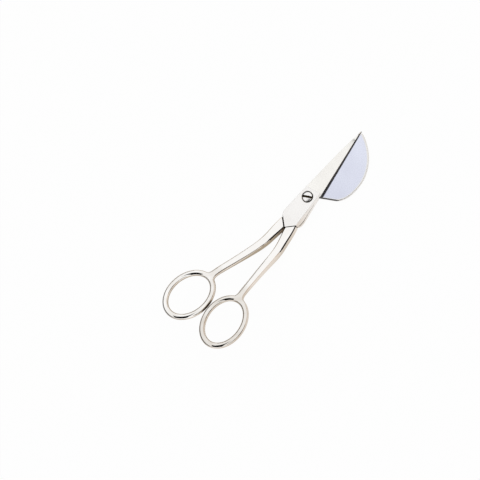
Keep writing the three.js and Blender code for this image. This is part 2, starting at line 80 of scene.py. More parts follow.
def ease(value: float, low: float, high: float) -> float:
    """Rises smoothly from 0 at low to 1 at high."""
    share = min(1.0, max(0.0, (value - low) / (high - low)))
    return share * share * (3.0 - 2.0 * share)


def flat(x: float, y: float) -> Vector:
    """Gives a place or a direction in the plane z = 0."""
    return Vector((x, y, 0.0))


class Joinery(Enum):
    """How a tool solid meets a body."""

    UNITE = "UNION"
    CUT = "DIFFERENCE"


class Body(Enum):
    """The two bodies that the pivot joins."""

    LOWER = "lower_half"
    UPPER = "upper_half"


class Bench:
    """Turns meshes into objects, and joins, cuts and shades them."""

    crease: ClassVar[float] = math.radians(24)
    flat_lead: ClassVar[int] = 80
    quad: ClassVar[int] = 4

    @staticmethod
    def place(bm: BMesh, name: str, *finishes: Material) -> Object:
        """Makes a linked object of a mesh and frees the mesh.

        Args:
            bm: The closed mesh, in millimetres.
            name: The object's name.
            finishes: The finishes that its faces count from 0.

        Returns:
            The object.
        """
        mesh = bpy.data.meshes.new(name)
        bmesh.ops.recalc_face_normals(bm, faces=bm.faces)
        bm.to_mesh(mesh)
        bm.free()
        for finish in finishes:
            mesh.materials.append(finish)
        made = bpy.data.objects.new(name, mesh)
        bpy.context.scene.collection.objects.link(made)
        return made

    @staticmethod
    def settle(made: Object) -> None:
        """Bakes an object's modifiers into its mesh.

        Args:
            made: The object, which keeps no modifier.
        """
        graph = bpy.context.evaluated_depsgraph_get()
        baked = bpy.data.meshes.new_from_object(made.evaluated_get(graph))
        rough = made.data
        made.modifiers.clear()
        made.data = baked
        bpy.data.meshes.remove(rough)

    @staticmethod
    def soften(made: Object, levels: int) -> None:
        """Rounds a cage into a smooth surface, and keeps it.

        Args:
            made: The cage, which is changed.
            levels: How often its faces are divided.
        """
        smoothing = made.modifiers.new("smoothing", "SUBSURF")
        smoothing.levels = levels
        smoothing.render_levels = levels
        Bench.settle(made)

    @staticmethod
    def join(made: Object, tool: Object, how: Joinery) -> None:
        """Unites a tool with a body or cuts it out, and uses the tool up.

        Args:
            made: The body, which is changed.
            tool: The other solid, which is removed.
            how: Whether it is united or cut out.
        """
        working = made.modifiers.new("joint", "BOOLEAN")
        working.operation = how.value
        working.solver = "EXACT"
        working.material_mode = "TRANSFER"
        working.object = tool
        Bench.settle(made)
        spent = tool.data
        bpy.data.objects.remove(tool)
        bpy.data.meshes.remove(spent)

    @staticmethod
    def cut(made: Object, room: BMesh, *finishes: Material) -> None:
        """Cuts a room out of a body, whose new walls take the room's finishes."""
        Bench.join(made, Bench.place(room, "room", *finishes), Joinery.CUT)

    @staticmethod
    def shade(made: Object) -> None:
        """Shades smoothly across soft edges and keeps every edge sharper than the crease.

        Args:
            made: The object, in its final shape.
        """
        bm = bmesh.new()
        bm.from_mesh(made.data)
        bmesh.ops.remove_doubles(bm, verts=bm.verts, dist=MERGE)
        wide = [face for face in bm.faces if len(face.verts) > Bench.quad]
        bmesh.ops.triangulate(bm, faces=wide, ngon_method="BEAUTY")
        bmesh.ops.recalc_face_normals(bm, faces=bm.faces)
        for face in bm.faces:
            face.smooth = True
        for edge in bm.edges:
            edge.smooth = edge.is_manifold and edge.calc_face_angle(0.0) < Bench.crease
        bm.to_mesh(made.data)
        bm.free()
        weighting = made.modifiers.new("flat faces lead", "WEIGHTED_NORMAL")
        weighting.keep_sharp = True
        weighting.weight = Bench.flat_lead


def outline_face(bm: BMesh, points: Iterable[Vector]) -> BMFace:
    """Makes one face from the points of an outline."""
    return bm.faces.new([bm.verts.new(point) for point in points])


def raise_face(bm: BMesh, face: BMFace, height: float) -> list[BMVert]:
    """Extrudes a flat face into a closed slab.

    Args:
        bm: The mesh that holds the face.
        face: The face, which stays as the slab's bottom.
        height: How far it is raised.

    Returns:
        The corners of the raised face.
    """
    grown = bmesh.ops.extrude_face_region(bm, geom=[face], use_keep_orig=True)["geom"]
    corners = [part for part in grown if isinstance(part, BMVert)]
    bmesh.ops.translate(bm, vec=UP * height, verts=corners)
    return corners


def round_edges(
    bm: BMesh, edges: Iterable[BMEdge], radius: float, segments: int, clamped: bool = True
) -> list[BMFace]:
    """Rounds edges, or breaks them where there is one segment.

    Args:
        bm: The mesh that holds the edges.
        edges: The edges.
        radius: Size of the rounding.
        segments: Number of its steps.
        clamped: Whether it keeps within the faces beside it.

    Returns:
        The new faces.
    """
    return bmesh.ops.bevel(
        bm,
        geom=list(edges),
        offset=radius,
        segments=segments,
        profile=0.5,
        affect="EDGES",
        clamp_overlap=clamped,
        material=-1,
    )["faces"]


def grind(bm: BMesh, through: Vector, outward: Vector, finish: int = 0) -> None:
    """Takes off all that lies beyond a plane, and closes the cut with a flat face.

    Args:
        bm: The closed mesh.
        through: A point on the plane.
        outward: The plane's normal, towards what is taken off.
        finish: Number of the ground face's finish.
    """
    whole = bm.verts[:] + bm.edges[:] + bm.faces[:]
    cut = bmesh.ops.bisect_plane(
        bm, geom=whole, dist=GRIP, plane_co=through, plane_no=outward.normalized(), clear_outer=True
    )["geom_cut"]
    bmesh.ops.edgeloop_fill(bm, edges=[part for part in cut if isinstance(part, BMEdge)], mat_nr=finish)


def spin_round(bm: BMesh, steps: int) -> None:
    """Spins all the edges of a mesh once round the Z axis."""
    whole = bm.verts[:] + bm.edges[:]
    bmesh.ops.spin(bm, geom=whole, cent=(0, 0, 0), axis=UP, angle=math.tau, steps=steps, use_merge=True)


def block(size: tuple[float, float, float], place: Matrix) -> BMesh:
    """Models a block.

    Args:
        size: Its three sides.
        place: Where its middle lies and how it is turned.

    Returns:
        The block.
    """
    bm = bmesh.new()
    corners = bmesh.ops.create_cube(bm, size=1.0)["verts"]
    bmesh.ops.transform(bm, matrix=place @ Matrix.Diagonal((*size, 1.0)), verts=corners)
    return bm


def draw_out(bm: BMesh, loop: Sequence[BMEdge], sections: Iterable[Callable[[int], Vector]]) -> list[BMEdge]:
    """Draws a closed loop of edges out through a row of sections.

    Each corner knows its spot on the section from the layer "spot", which its copies keep.

    Args:
        bm: The mesh that holds the loop.
        loop: The loop of edges to start from.
        sections: For each station, where each spot lies.

    Returns:
        The last loop of edges.
    """
    spot = bm.verts.layers.int["spot"]
    edges = list(loop)
    for section in sections:
        grown = bmesh.ops.extrude_edge_only(bm, edges=edges)["geom"]
        corners = [part for part in grown if isinstance(part, BMVert)]
        for corner in corners:
            corner.co = section(corner[spot])
        fresh = set(corners)
        edges = [part for part in grown if isinstance(part, BMEdge) and fresh.issuperset(part.verts)]
    return edges


@dataclass
class PivotPlate:
    """The flat that each half has at the pivot, from the V at the shanks to the ground blade, in mm."""

    thickness: float = 2.6
    half_width: float = 5.2
    front: float = 6.0
    front_slant: float = 1.5
    edge_round: float = 0.2
    edge_steps: int = 4
    seam_break: float = 0.24
    wall_foot: float = 5.95
    ride_gap: float = 0.1
    shoulder_width: float = 6.4
    shoulder_back: float = 12.5
    shoulder_bulge: float = 0.2
    shoulder_round: float = 1.0
    shoulder_steps: int = 14
    spine_fall: float = 0.108
    v_back: float = 22.0
    v_half_angle: float = math.radians(48)
    v_gap: float = 0.5
    room_widths: float = 3.0
    bolster_width: float = 0.22
    bolster_depth: float = 0.07
    bolster_over: float = 0.5
    left_line: float = 0.8
    right_line: float = 0.4
    line_depth: float = 0.6

    def spine(self, x: float) -> float:
        """Gives the distance of the spine from the pivot axis at x."""
        return self.shoulder_width - self.spine_fall * (x + self.shoulder_back)

    @property
    def wing(self) -> float:
        """Where the V ends at the plate's sides."""
        return self.half_width / math.tan(self.v_half_angle) - self.v_back

    def shoulder(self) -> list[Vector]:
        """Gives the rounded shoulder.

        Returns:
            Its points, from the widest one to the end of the V.
        """
        widest = flat(-self.shoulder_back, self.shoulder_width)
        pull = flat(self.wing + self.shoulder_round, self.shoulder_width + self.shoulder_bulge)
        corner = flat(self.wing, self.half_width)
        first, second = widest.lerp(pull, 2 / 3), corner.lerp(pull, 2 / 3)
        return interpolate_bezier(widest, first, second, corner, self.shoulder_steps)

    def outline(self) -> list[Vector]:
        """Gives the outline of the pointed half's plate, seen from above.

        Returns:
            Its points, from the front on the cutting side.
        """
        front_left = self.front - self.front_slant
        level = (self.shoulder_width - self.half_width) / self.spine_fall - self.shoulder_back
        return [
            flat(self.front, -self.half_width),
            flat(front_left, self.spine(front_left)),
            *self.shoulder(),
            flat(-self.v_back, 0.0),
            *(flat(point.x, -self.half_width) for point in reversed(self.shoulder())),
            flat(level, -self.half_width),
        ]

    def flare(self, foot: Iterable[BMVert]) -> None:
        """Leans the straight wall out, until its foot meets the shoulder of the other half's plate.

        Args:
            foot: The corners of the plate's lower face, which are moved.
        """
        other = {round(point.x, DIGITS): point.y for point in self.shoulder()}
        for corner in foot:
            reach = other.get(round(corner.co.x, DIGITS))
            if reach is not None and corner.co.y < 0:
                corner.co.y = -max(reach, self.wall_foot)

    def seam(self, bm: BMesh) -> list[BMEdge]:
        """Finds the plate's lower edges along its two sides.

        Args:
            bm: The plate.

        Returns:
            The edges.
        """
        side = self.half_width - NEAR
        low = {corner for corner in bm.verts if corner.co.z < self.ride_gap and abs(corner.co.y) > side}
        return [edge for edge in bm.edges if low.issuperset(edge.verts)]

    def build(self) -> BMesh:
        """Models the pointed half's plate: a slab with fine upper edges, and a seam and walls at the V
        painted dark with shade.

        Returns:
            The plate, half the running gap above the mating plane. Its second finish is the painted shade.
        """
        bm = bmesh.new()
        face = outline_face(bm, self.outline())
        top = set(raise_face(bm, face, self.thickness - self.ride_gap / 2))
        bmesh.ops.translate(bm, vec=UP * self.ride_gap / 2, verts=bm.verts)
        self.flare(face.verts)
        # The walls at the V and the broken seam take painted shade.
        for wall in bm.faces:
            if all(corner.co.x < self.wing + NEAR for corner in wall.verts):
                wall.material_index = 1
        rim = [edge for edge in bm.edges if top.issuperset(edge.verts)]
        round_edges(bm, rim, self.edge_round, self.edge_steps)
        for broken in round_edges(bm, self.seam(bm), self.seam_break, 1, clamped=False):
            broken.material_index = 1
        return bm

    def line_space(self, start: Vector, end: Vector, width: float, depth: float) -> BMesh:
        """Models the room of a fine line that is scored into the plate's top.

        Args:
            start: Where the line starts, seen from above.
            end: Where it ends.
            width: Its width.
            depth: Its depth.

        Returns:
            A block that reaches down to the line's depth.
        """
        run = end - start
        turn = Matrix.Rotation(math.atan2(run.y, run.x), 4, "Z")
        middle = (start + end) / 2 + UP * self.thickness
        return block((run.length, width, 2 * depth), Matrix.Translation(middle) @ turn)

    def bolster_line(self) -> BMesh:
        """Models the room of the line between the plate and the ground blade.

        Returns:
            The room, which reaches past the plate on both sides.
        """
        run = flat(-self.front_slant, self.half_width + self.spine(self.front))
        right = flat(self.front, -self.half_width)
        start, end = right - self.bolster_over * run, right + (1 + self.bolster_over) * run
        return self.line_space(start, end, self.bolster_width, self.bolster_depth)

    def shoulder_line(self, side: float) -> BMesh:
        """Models the room of the line along one arm of the V.

        Args:
            side: +1 for the left arm, -1 for the right one.

        Returns:
            The room.
        """
        arm = flat(1.0 / math.tan(self.v_half_angle), side) * self.half_width
        apex = flat(-self.v_back, 0.0)
        width = self.left_line if side > 0 else self.right_line
        return self.line_space(apex, apex + arm, width, self.line_depth)

    def shoulder_space(self) -> BMesh:
        """Models the room that the lower plate needs under the pointed half's shank.

        Returns:
            The room, from the V forwards and from half the running gap above the mating plane down.
        """
        run = 1.0 / math.tan(self.v_half_angle)
        apex = -self.v_back - self.v_gap / math.sin(self.v_half_angle)
        wide = self.room_widths * self.half_width
        end = apex + wide * run
        bm = bmesh.new()
        outline = [flat(apex, 0.0), flat(end, -wide), flat(FAR, -wide), flat(FAR, wide), flat(end, wide)]
        raise_face(bm, outline_face(bm, outline), FAR)
        bmesh.ops.translate(bm, vec=UP * (self.ride_gap / 2 - FAR), verts=bm.verts)
        return bm


@dataclass
class PointedBlade:
    """The upper blade: hollow ground inside, with a cutting bevel along its edge, in mm."""

    heel: float = 4.3
    reach: float = 48.6
    heel_edge: float = 6.6
    tip_side: float = 1.5
    spine_drop: float = 0.9
    drop_from: float = 28.0
    drop_power: float = 1.6
    root_thickness: float = 2.5
    tip_thickness: float = 0.8
    bevel_width: float = 0.64
    bevel_share: float = 0.66
    bevel_most: float = 0.45
    chamfer: float = 0.3
    chamfer_most: float = 0.25
    hollow: float = 0.2
    hollow_steps: int = 8
    stations: int = 36

    def section(self, share: float, plate: PivotPlate) -> list[Vector]:
        """Gives the ground section at a share of the way from the heel to the tip.

        Args:
            share: 0 at the heel, 1 at the tip.
            plate: The plate whose spine line the blade carries on.

        Returns:
            The corners, from the cutting edge over the top and back along the hollow.
        """
        x = blend(self.heel, self.reach, share)
        bent = max(0.0, (x - self.drop_from) / (self.reach - self.drop_from))
        edge = -blend(self.heel_edge, self.tip_side, share)
        spine = plate.spine(x) - self.spine_drop * bent**self.drop_power
        width = spine - edge
        top = blend(self.root_thickness, self.tip_thickness, share)
        floor = plate.ride_gap / 2
        bevel = min(self.bevel_width, self.bevel_most * width)
        chamfer = min(self.chamfer, self.chamfer_most * width)
        depth = self.hollow * min(1.0, width / self.heel_edge)
        corners = [
            Vector((x, edge, floor)),
            Vector((x, edge + bevel, floor + self.bevel_share * (top - floor))),
            Vector((x, spine - chamfer, top)),
            Vector((x, spine, top - chamfer)),
            Vector((x, spine, floor)),
        ]
        for step in range(1, self.hollow_steps):
            across = step / self.hollow_steps
            rise = depth * 4 * across * (1 - across)
            corners.append(Vector((x, blend(spine, edge, across), floor + rise)))
        return corners

    def build(self, plate: PivotPlate) -> BMesh:
        """Models the blade by drawing its heel section out to the tip.

        Args:
            plate: The plate that the blade grows from.

        Returns:
            The blade. Its second finish is on the cutting bevel, between the first two spots.
        """
        bm = bmesh.new()
        spot = bm.verts.layers.int.new("spot")
        heel = outline_face(bm, self.section(0.0, plate))
        for index, corner in enumerate(heel.verts):
            corner[spot] = index
        rows = [self.section(step / self.stations, plate) for step in range(1, self.stations + 1)]
        last = draw_out(bm, heel.edges, [row.__getitem__ for row in rows])
        bmesh.ops.edgeloop_fill(bm, edges=last)
        for face in bm.faces:
            if {corner[spot] for corner in face.verts} == {0, 1}:
                face.material_index = 1
        return bm


@dataclass
class Duckbill:
    """The lower blade: a broad flat paddle with a bevelled cutting edge, in mm.

    The fields from rim_tip_x to rim_corner_y are shares that place the handles of the rim's two curves.
    level_from and under_to are heights of a face's unit normal.
    """

    heel: float = 4.3
    heel_edge: float = 4.4
    root_side: float = 6.6
    tip: float = 48.1
    tip_side: float = 2.1
    widest: float = 23.0
    width: float = 20.0
    corner: float = 7.6
    corner_side: float = 13.3
    rim_tip_x: float = 0.86
    rim_tip_y: float = 0.53
    rim_front_x: float = 0.48
    rim_back_x: float = 0.42
    rim_corner_x: float = 0.5
    rim_corner_y: float = 0.48
    rim_steps: int = 48
    rear_steps: int = 32
    rim_thickness: float = 1.5
    rim_round: float = 0.4
    round_steps: int = 4
    rim_band: float = 0.5
    rim_fall: float = 0.05
    level_from: float = 0.9
    under_to: float = -0.6
    edge_lean: float = math.radians(24)
    back_bevel: float = 0.7
    back_lean: float = math.radians(50)
    lift: float = 1.1
    lift_length: float = 15.0
    stock: float = 2.0

    def edge(self, x: float) -> float:
        """Gives the place of the cutting edge across the blade at x."""
        return blend(self.heel_edge, -self.tip_side, (x - self.heel) / (self.tip - self.heel))

    def outline(self) -> list[Vector]:
        """Gives the outline, with stock left beyond the cutting edge.

        Returns:
            Its points, from the tip round the rim and the rear edge.
        """
        back = (self.corner - self.heel) / (self.corner_side - self.root_side)
        out = -self.width
        widest = flat(self.widest, out)
        rim = interpolate_bezier(
            flat(self.tip, -self.tip_side),
            flat(blend(self.widest, self.tip, self.rim_tip_x), blend(out, -self.tip_side, self.rim_tip_y)),
            flat(blend(self.widest, self.tip, self.rim_front_x), out),
            widest,
            self.rim_steps,
        )
        rear = interpolate_bezier(
            widest,
            flat(blend(self.corner, self.widest, self.rim_back_x), out),
            flat(
                self.corner + self.rim_corner_x * back * (self.width - self.corner_side),
                blend(out, -self.corner_side, self.rim_corner_y),
            ),
            flat(self.corner, -self.corner_side),
            self.rear_steps,
        )
        return [
            *rim,
            *rear[1:],
            flat(self.heel - back * self.root_side, 0.0),
            flat(self.heel, self.edge(self.heel) + self.stock),
            flat(self.tip, self.edge(self.tip) + self.stock),
        ]

    def build(self, plate: PivotPlate) -> BMesh:
        """Models the paddle: a slab that thins to its rim, ground along its edges and lifted at its tip.

        Args:
            plate: The plate that the paddle grows from.

        Returns:
            The paddle. Its second finish is on the ground edges, its third on the rim.
        """
        inner = -plate.ride_gap / 2
        depth = plate.thickness + inner
        bm = bmesh.new()
        top = raise_face(bm, outline_face(bm, self.outline()), depth)
        bmesh.ops.translate(bm, vec=-UP * plate.thickness, verts=bm.verts)
        fall = (depth - self.rim_thickness) / (self.edge(self.widest) + self.width)
        drift = (self.edge(self.tip) - self.edge(self.heel)) / (self.tip - self.heel)
        lean = Matrix.Identity(4)
        lean[2][0] = -fall * drift
        lean[2][1] = fall
        lean[2][3] = -fall * self.edge(0.0)
        bmesh.ops.transform(bm, matrix=lean, verts=top)
        level = [edge for edge in bm.edges if abs(edge.verts[0].co.z - edge.verts[1].co.z) < depth / 2]
        round_edges(bm, level, self.rim_round, self.round_steps)
        self.polish_rim(bm)
        left = UP.cross(flat(1.0, drift).normalized())
        cutting = Vector((self.heel, self.edge(self.heel), inner))
        grind(bm, cutting, left * math.cos(self.edge_lean) - UP * math.sin(self.edge_lean), 1)
        self.grind_back(bm, lambda x, y: inner - fall * (self.edge(x) - y))
        tip_start = Vector((self.tip - self.lift_length, 0.0, -plate.thickness))
        grind(bm, tip_start, Vector((self.lift / self.lift_length, 0.0, -1.0)))
        return bm

    def polish_rim(self, bm: BMesh) -> None:
        """Polishes the rim: the wall, its rounding and a narrow band, which falls a little, inside it.

        Args:
            bm: The paddle, before its edges are ground.
        """
        bmesh.ops.recalc_face_normals(bm, faces=bm.faces)
        inner = max(bm.faces, key=lambda face: (face.normal.z > self.level_from) * face.calc_area())
        outer = list(inner.verts)
        band = bmesh.ops.inset_region(
            bm, faces=[inner], thickness=self.rim_band, use_even_offset=True
        )["faces"]
        bmesh.ops.translate(bm, vec=-UP * self.rim_fall, verts=outer)
        for face in bm.faces:
            if face in band or (face is not inner and face.normal.z > self.under_to):
                face.material_index = 2

    def grind_back(self, bm: BMesh, inner_face: Callable[[float, float], float]) -> None:
        """Bevels the straight rear edge.

        Args:
            bm: The paddle.
            inner_face: Height of the paddle's inner face over a point.
        """
        run = flat(self.heel - self.corner, self.corner_side - self.root_side)
        out = UP.cross(run).normalized()
        corner = flat(self.corner, -self.corner_side) - out * self.back_bevel
        heel = corner + run
        corner.z = inner_face(corner.x, corner.y)
        heel.z = inner_face(heel.x, heel.y)
        rise = (heel - corner).normalized()
        normal = out * math.sin(self.back_lean) + rise.cross(out) * math.cos(self.back_lean)
        grind(bm, corner, normal if normal.z > 0 else -normal, 1)


@dataclass
class Section:
    """Half sizes of a shank's section and the size of its corner, in mm."""

    width: float
    height: float
    corner: float
    columns: ClassVar[int] = 3

    def spot(self, run: float, spot: int) -> Vector:
        """Places one of the section's corners.

        Args:
            run: Length along the shank.
            spot: Number of the corner, in rows of three from the bottom up, right to left.

        Returns:
            Its place along the run, across it and in height.
        """
        row, column = divmod(spot, self.columns)
        width = self.width if row in (1, 2) else self.width - self.corner
        inner = self.height - self.corner
        height = (-self.height, -inner, inner, self.height)[row]
        return Vector((run, (column - 1) * width, height))


@dataclass
class Handle:
    """The left handle: a cranked shank that is drawn out of an oval finger bow, in mm.

    neck_lead and mouth_lead count from the bow's front towards the pivot, flare_lead from the neck, and
    crease_fade and crease_end from the crank towards the bow. wire_slack is the share of a cage's size that
    smoothing leaves to the wire, and corner_share the part of a rounding that its cage cuts off. The shank's
    mouth reaches front_pitches steps of the ring to each side.
    """

    crotch_gap: float = 0.6
    root_width: float = 5.8
    shank_width: float = 5.0
    neck_width: float = 4.4
    flare_width: float = 4.1
    step: float = 0.25
    waist: float = 0.4
    root_round: float = 0.95
    ramp_round: float = 1.2
    corner_share: float = 0.586
    root_length: float = 10.0
    embed: float = 8.0
    buried: float = 2.2
    crank_back: float = 36.0
    ramp_angle: float = math.radians(30)
    crank_radius: float = 18.0
    level_radius: float = 16.0
    neck_lead: float = 2.6
    flare_lead: float = 0.5
    mouth_lead: float = 1.4
    neck_fillet: float = 0.25
    bow_back: float = 85.6
    bow_rise: float = 21.3
    bow_pitch: float = math.radians(10)
    bow_length: float = 26.8
    bow_width: float = 19.8
    bows_gap: float = 0.4
    wire_width: float = 3.4
    wire_height: float = 3.5
    wire_slack: float = 0.976
    wire_sides: int = 8
    front_pitches: float = 1.01
    outer_row: float = 0.35
    middle_column: float = 0.1
    crease_fade: Span = (2.0, 19.0)
    crease_end: float = 20.0
    crease_length: float = 1.0
    crease_side: float = 0.3
    wall_crease: float = 0.35
    splay_passes: int = 6
    ring_steps: int = 28
    shank_steps: int = 24
    levels: int = 3
    splay: float = field(init=False)
    bow_side: float = field(init=False)

    def __post_init__(self) -> None:
        """Settles the splay of the shank and the place of the bow, which depend on each other."""
        long = self.bow_length / 2 + self.wire_width
        wide = self.bow_width / 2 + self.wire_width
        self.splay = 0.0
        for _ in range(self.splay_passes):
            reach = math.hypot(
                long * math.sin(self.splay) * math.cos(self.bow_pitch), wide * math.cos(self.splay)
            )
            self.bow_side = reach + self.bows_gap / 2
            self.splay = math.atan2(self.bow_side - self.root_side, self.bow_back - PivotPlate.v_back)

    @property
    def root_side(self) -> float:
        """Distance of the shank's middle from the pivot axis where it leaves the V."""
        return (self.crotch_gap + self.root_width) / 2

    @property
    def root_run(self) -> float:
        """Run from the pivot to where the shank leaves the V."""
        return PivotPlate.v_back / math.cos(self.splay)

    @property
    def crank_run(self) -> float:
        """Run from the pivot to the start of the crank."""
        return self.side_view()[0][0]

    @property
    def bow_run(self) -> float:
        """Run from the pivot to the middle of the bow."""
        return sum(length for length, _ in self.side_view())

    @property
    def bow_front(self) -> float:
        """Run from the pivot to the front of the bow."""
        return self.bow_run - self.bow_length / 2 - self.wire_width

    @property
    def bow_mean(self) -> Vector:
        """Half the length and half the width of the bow along the middle of its wire."""
        return Vector((self.bow_length + self.wire_width, self.bow_width + self.wire_width)) / 2

    def side_view(self) -> list[tuple[float, float]]:
        """Gives the shank's side view, up to the bow's straight climb.

        Returns:
            Its stretches, each a length and a turn.
        """
        crank = self.crank_back / math.cos(self.splay)
        bow = self.bow_back / math.cos(self.splay)
        climb, pitch = self.ramp_angle, self.bow_pitch
        level = self.bow_rise - bow * math.tan(pitch) + crank * math.tan(climb)
        level /= math.tan(climb) - math.tan(pitch)
        crank_tangent = self.crank_radius * math.tan(climb / 2)
        level_tangent = self.level_radius * math.tan((climb - pitch) / 2)
        ramp = (level - crank) / math.cos(climb) - crank_tangent - level_tangent
        return [
            (crank - crank_tangent, 0.0),
            (self.crank_radius * climb, climb),
            (ramp, 0.0),
            (self.level_radius * (climb - pitch), pitch - climb),
            ((bow - level) / math.cos(pitch) - level_tangent, 0.0),
        ]

    def follow(self, run: float) -> tuple[float, float, float]:
        """Follows the side view for a run from the pivot.

        Args:
            run: Length along the shank.

        Returns:
            Distance along the ground, height and slope there.
        """
        along = height = slope = 0.0
        left = run
        stretches = self.side_view()
        for number, (length, turn) in enumerate(stretches):
            step = left if number == len(stretches) - 1 else min(left, length)
            if turn:
                radius = length / turn
                bent = slope + step / radius
                along += radius * (math.sin(bent) - math.sin(slope))
                height += radius * (math.cos(slope) - math.cos(bent))
                slope = bent
            else:
                along += step * math.cos(slope)
                height += step * math.sin(slope)
            left -= step
            if left <= 0:
                break
        return along, height, slope

    def shank_section(self, run: float, thickness: float) -> Section:
        """Gives the shank's section at a run: boxy at the plate, oval at the neck.

        Args:
            run: Length along the shank.
            thickness: Thickness of a pivot plate.

        Returns:
            The section there.
        """
        root = self.root_run
        ramp = root + self.root_length
        neck = self.bow_front - self.neck_lead
        narrowed, necked = ease(run, root, ramp), ease(run, ramp, neck)
        width = blend(self.root_width, self.shank_width, narrowed)
        width -= self.buried * (1 - ease(run, root - self.embed, root - self.embed / 2))
        width = blend(width, self.neck_width, necked)
        width = blend(width, self.flare_width, ease(run, neck - self.flare_lead, neck + self.neck_lead))
        height = blend(2 * thickness - self.step, self.wire_height, ease(run, self.crank_run, neck))
        corner = blend(blend(self.root_round, self.ramp_round, narrowed), self.wire_height / 2, necked)
        return Section(width / 2, height / 2, self.corner_share * corner)

    def ring(self, bm: BMesh) -> list[BMFace]:
        """Spins the wire's section into a round ring.

        Args:
            bm: The empty mesh that the ring is made in.

        Returns:
            The faces at the front, which the shank is drawn out of.
        """
        mean = self.bow_mean
        corner_turn = math.pi / self.wire_sides
        section = bmesh.ops.create_circle(
            bm, segments=self.wire_sides, radius=1.0 / math.cos(corner_turn)
        )["verts"]
        half_width = self.wire_width / 2 / self.wire_slack
        half_height = self.wire_height / 2 / self.wire_slack
        shape = Matrix.Diagonal((half_width, half_height, 1.0, 1.0))
        stand = Matrix.Rotation(math.pi / 2, 4, "X")
        out = Matrix.Translation((mean.x, 0.0, 0.0))
        turn = Matrix.Rotation(corner_turn, 4, "Z")
        bmesh.ops.transform(bm, matrix=out @ stand @ shape @ turn, verts=section)
        spin_round(bm, self.ring_steps)
        pitch = math.tau / self.ring_steps
        front = {
            corner
            for corner in bm.verts
            if corner.co.xy.length > mean.x + NEAR
            and math.atan2(abs(corner.co.y), -corner.co.x) < self.front_pitches * pitch
        }
        return [face for face in bm.faces if front.issuperset(face.verts)]

    def stretch(self, bm: BMesh) -> None:
        """Stretches the round ring to the bow's oval, a little wide for what smoothing draws in.

        Args:
            bm: The ring, which is moved to its run.
        """
        mean, middle = self.bow_mean, self.bow_run
        shrink = (2 + math.cos(math.tau / self.ring_steps)) / 3
        for corner in bm.verts:
            offset = corner.co.xy.length - mean.x
            angle = math.atan2(corner.co.y, corner.co.x)
            corner.co.x = middle + (mean.x / shrink + offset) * math.cos(angle)
            corner.co.y = (mean.y / shrink + offset) * math.sin(angle)

    def number_mouth(self, bm: BMesh, mouth: Iterable[BMEdge]) -> None:
        """Gives each corner of the bow's mouth its spot on the shank's section.

        Args:
            bm: The bow.
            mouth: The edges of the opening at its front.
        """
        spot = bm.verts.layers.int["spot"]
        for corner in {corner for edge in mouth for corner in edge.verts}:
            outer = abs(corner.co.z) > self.outer_row * self.wire_height
            row = (0 if outer else 1) if corner.co.z < 0 else (3 if outer else 2)
            column = round(corner.co.y / max(abs(corner.co.y), self.middle_column))
            corner[spot] = Section.columns * row + column + 1

    def cage(self, thickness: float) -> BMesh:
        """Models the flat cage: a spun bow with the shank drawn out of its front.

        Args:
            thickness: Thickness of a pivot plate.

        Returns:
            The closed cage, along the run, across it and in height.
        """
        bm = bmesh.new()
        bm.verts.layers.int.new("spot")
        front = self.ring(bm)
        self.stretch(bm)
        bmesh.ops.inset_region(bm, faces=front, thickness=self.neck_fillet, use_even_offset=True)
        bmesh.ops.delete(bm, geom=front, context="FACES")
        mouth = [edge for edge in bm.edges if edge.is_boundary]
        self.number_mouth(bm, mouth)
        neck = self.bow_front - self.mouth_lead
        start = self.root_run - self.embed
        runs = [blend(neck, start, step / self.shank_steps) for step in range(self.shank_steps + 1)]
        end = draw_out(bm, mouth, [partial(self.shank_section(run, thickness).spot, run) for run in runs])
        bmesh.ops.edgeloop_fill(bm, edges=end)
        return bm

    def sharpen(self, bm: BMesh) -> None:
        """Creases the shank's long corners: crisp at the V, soft from the crank on.

        Args:
            bm: The flat cage.
        """
        crease = bm.edges.layers.float.new("crease_edge")
        crank = self.crank_run
        fade_from, fade_to = (crank + length for length in self.crease_fade)
        for edge in bm.edges:
            first, second = (corner.co for corner in edge.verts)
            run = (first.x + second.x) / 2
            long = abs(first.x - second.x) > self.crease_length
            if long and abs(first.y) > self.crease_side and run < crank + self.crease_end:
                most = 1.0 if abs(first.z) > self.wire_height / 2 else self.wall_crease
                edge[crease] = most * (1 - ease(run, fade_from, fade_to))

    def bend(self, bm: BMesh) -> None:
        """Bends the flat cage along the side view and swings it out to its splay.

        Args:
            bm: The flat cage.
        """
        rear = flat(-math.cos(self.splay), math.sin(self.splay))
        out = flat(math.sin(self.splay), math.cos(self.splay))
        root = Vector((0.0, self.root_side - PivotPlate.v_back * math.tan(self.splay), -self.step / 2))
        first, last = self.root_run, self.bow_front
        for corner in bm.verts:
            run, across, height = corner.co
            along, rise, slope = self.follow(run)
            share = min(1.0, max(0.0, (run - first) / (last - first)))
            waist = self.waist * math.sin(math.pi * share) ** 2
            corner.co = (
                root
                + rear * (along - math.sin(slope) * height)
                + out * (across - waist)
                + UP * (rise + math.cos(slope) * height)
            )

    def build(self, thickness: float, mirrored: bool) -> BMesh:
        """Models a handle's cage in its place.

        Args:
            thickness: Thickness of a pivot plate.
            mirrored: Whether it is the right handle.

        Returns:
            The cage, ready to be smoothed.
        """
        bm = self.cage(thickness)
        self.sharpen(bm)
        self.bend(bm)
        if mirrored:
            bmesh.ops.scale(bm, vec=(1.0, -1.0, 1.0), verts=bm.verts)
        return bm

    def solid(self, plate: PivotPlate, finishes: "Finishes", mirrored: bool) -> Object:
        """Makes one smooth handle, with the room for the other half's plate cut out.

        Args:
            plate: The pivot plate of both halves.
            finishes: The finishes of the scissors.
            mirrored: Whether it is the right handle.

        Returns:
            The handle.
        """
        made = Bench.place(self.build(plate.thickness, mirrored), "handle", finishes.handle)
        Bench.soften(made, self.levels)
        room = plate.shoulder_space()
        if not mirrored:
            bmesh.ops.transform(room, matrix=HALF_TURN, verts=room.verts)
        # The room's walls take painted shade.
        Bench.cut(made, room, finishes.joint)
        return made


Number = Union[float, "Level"]


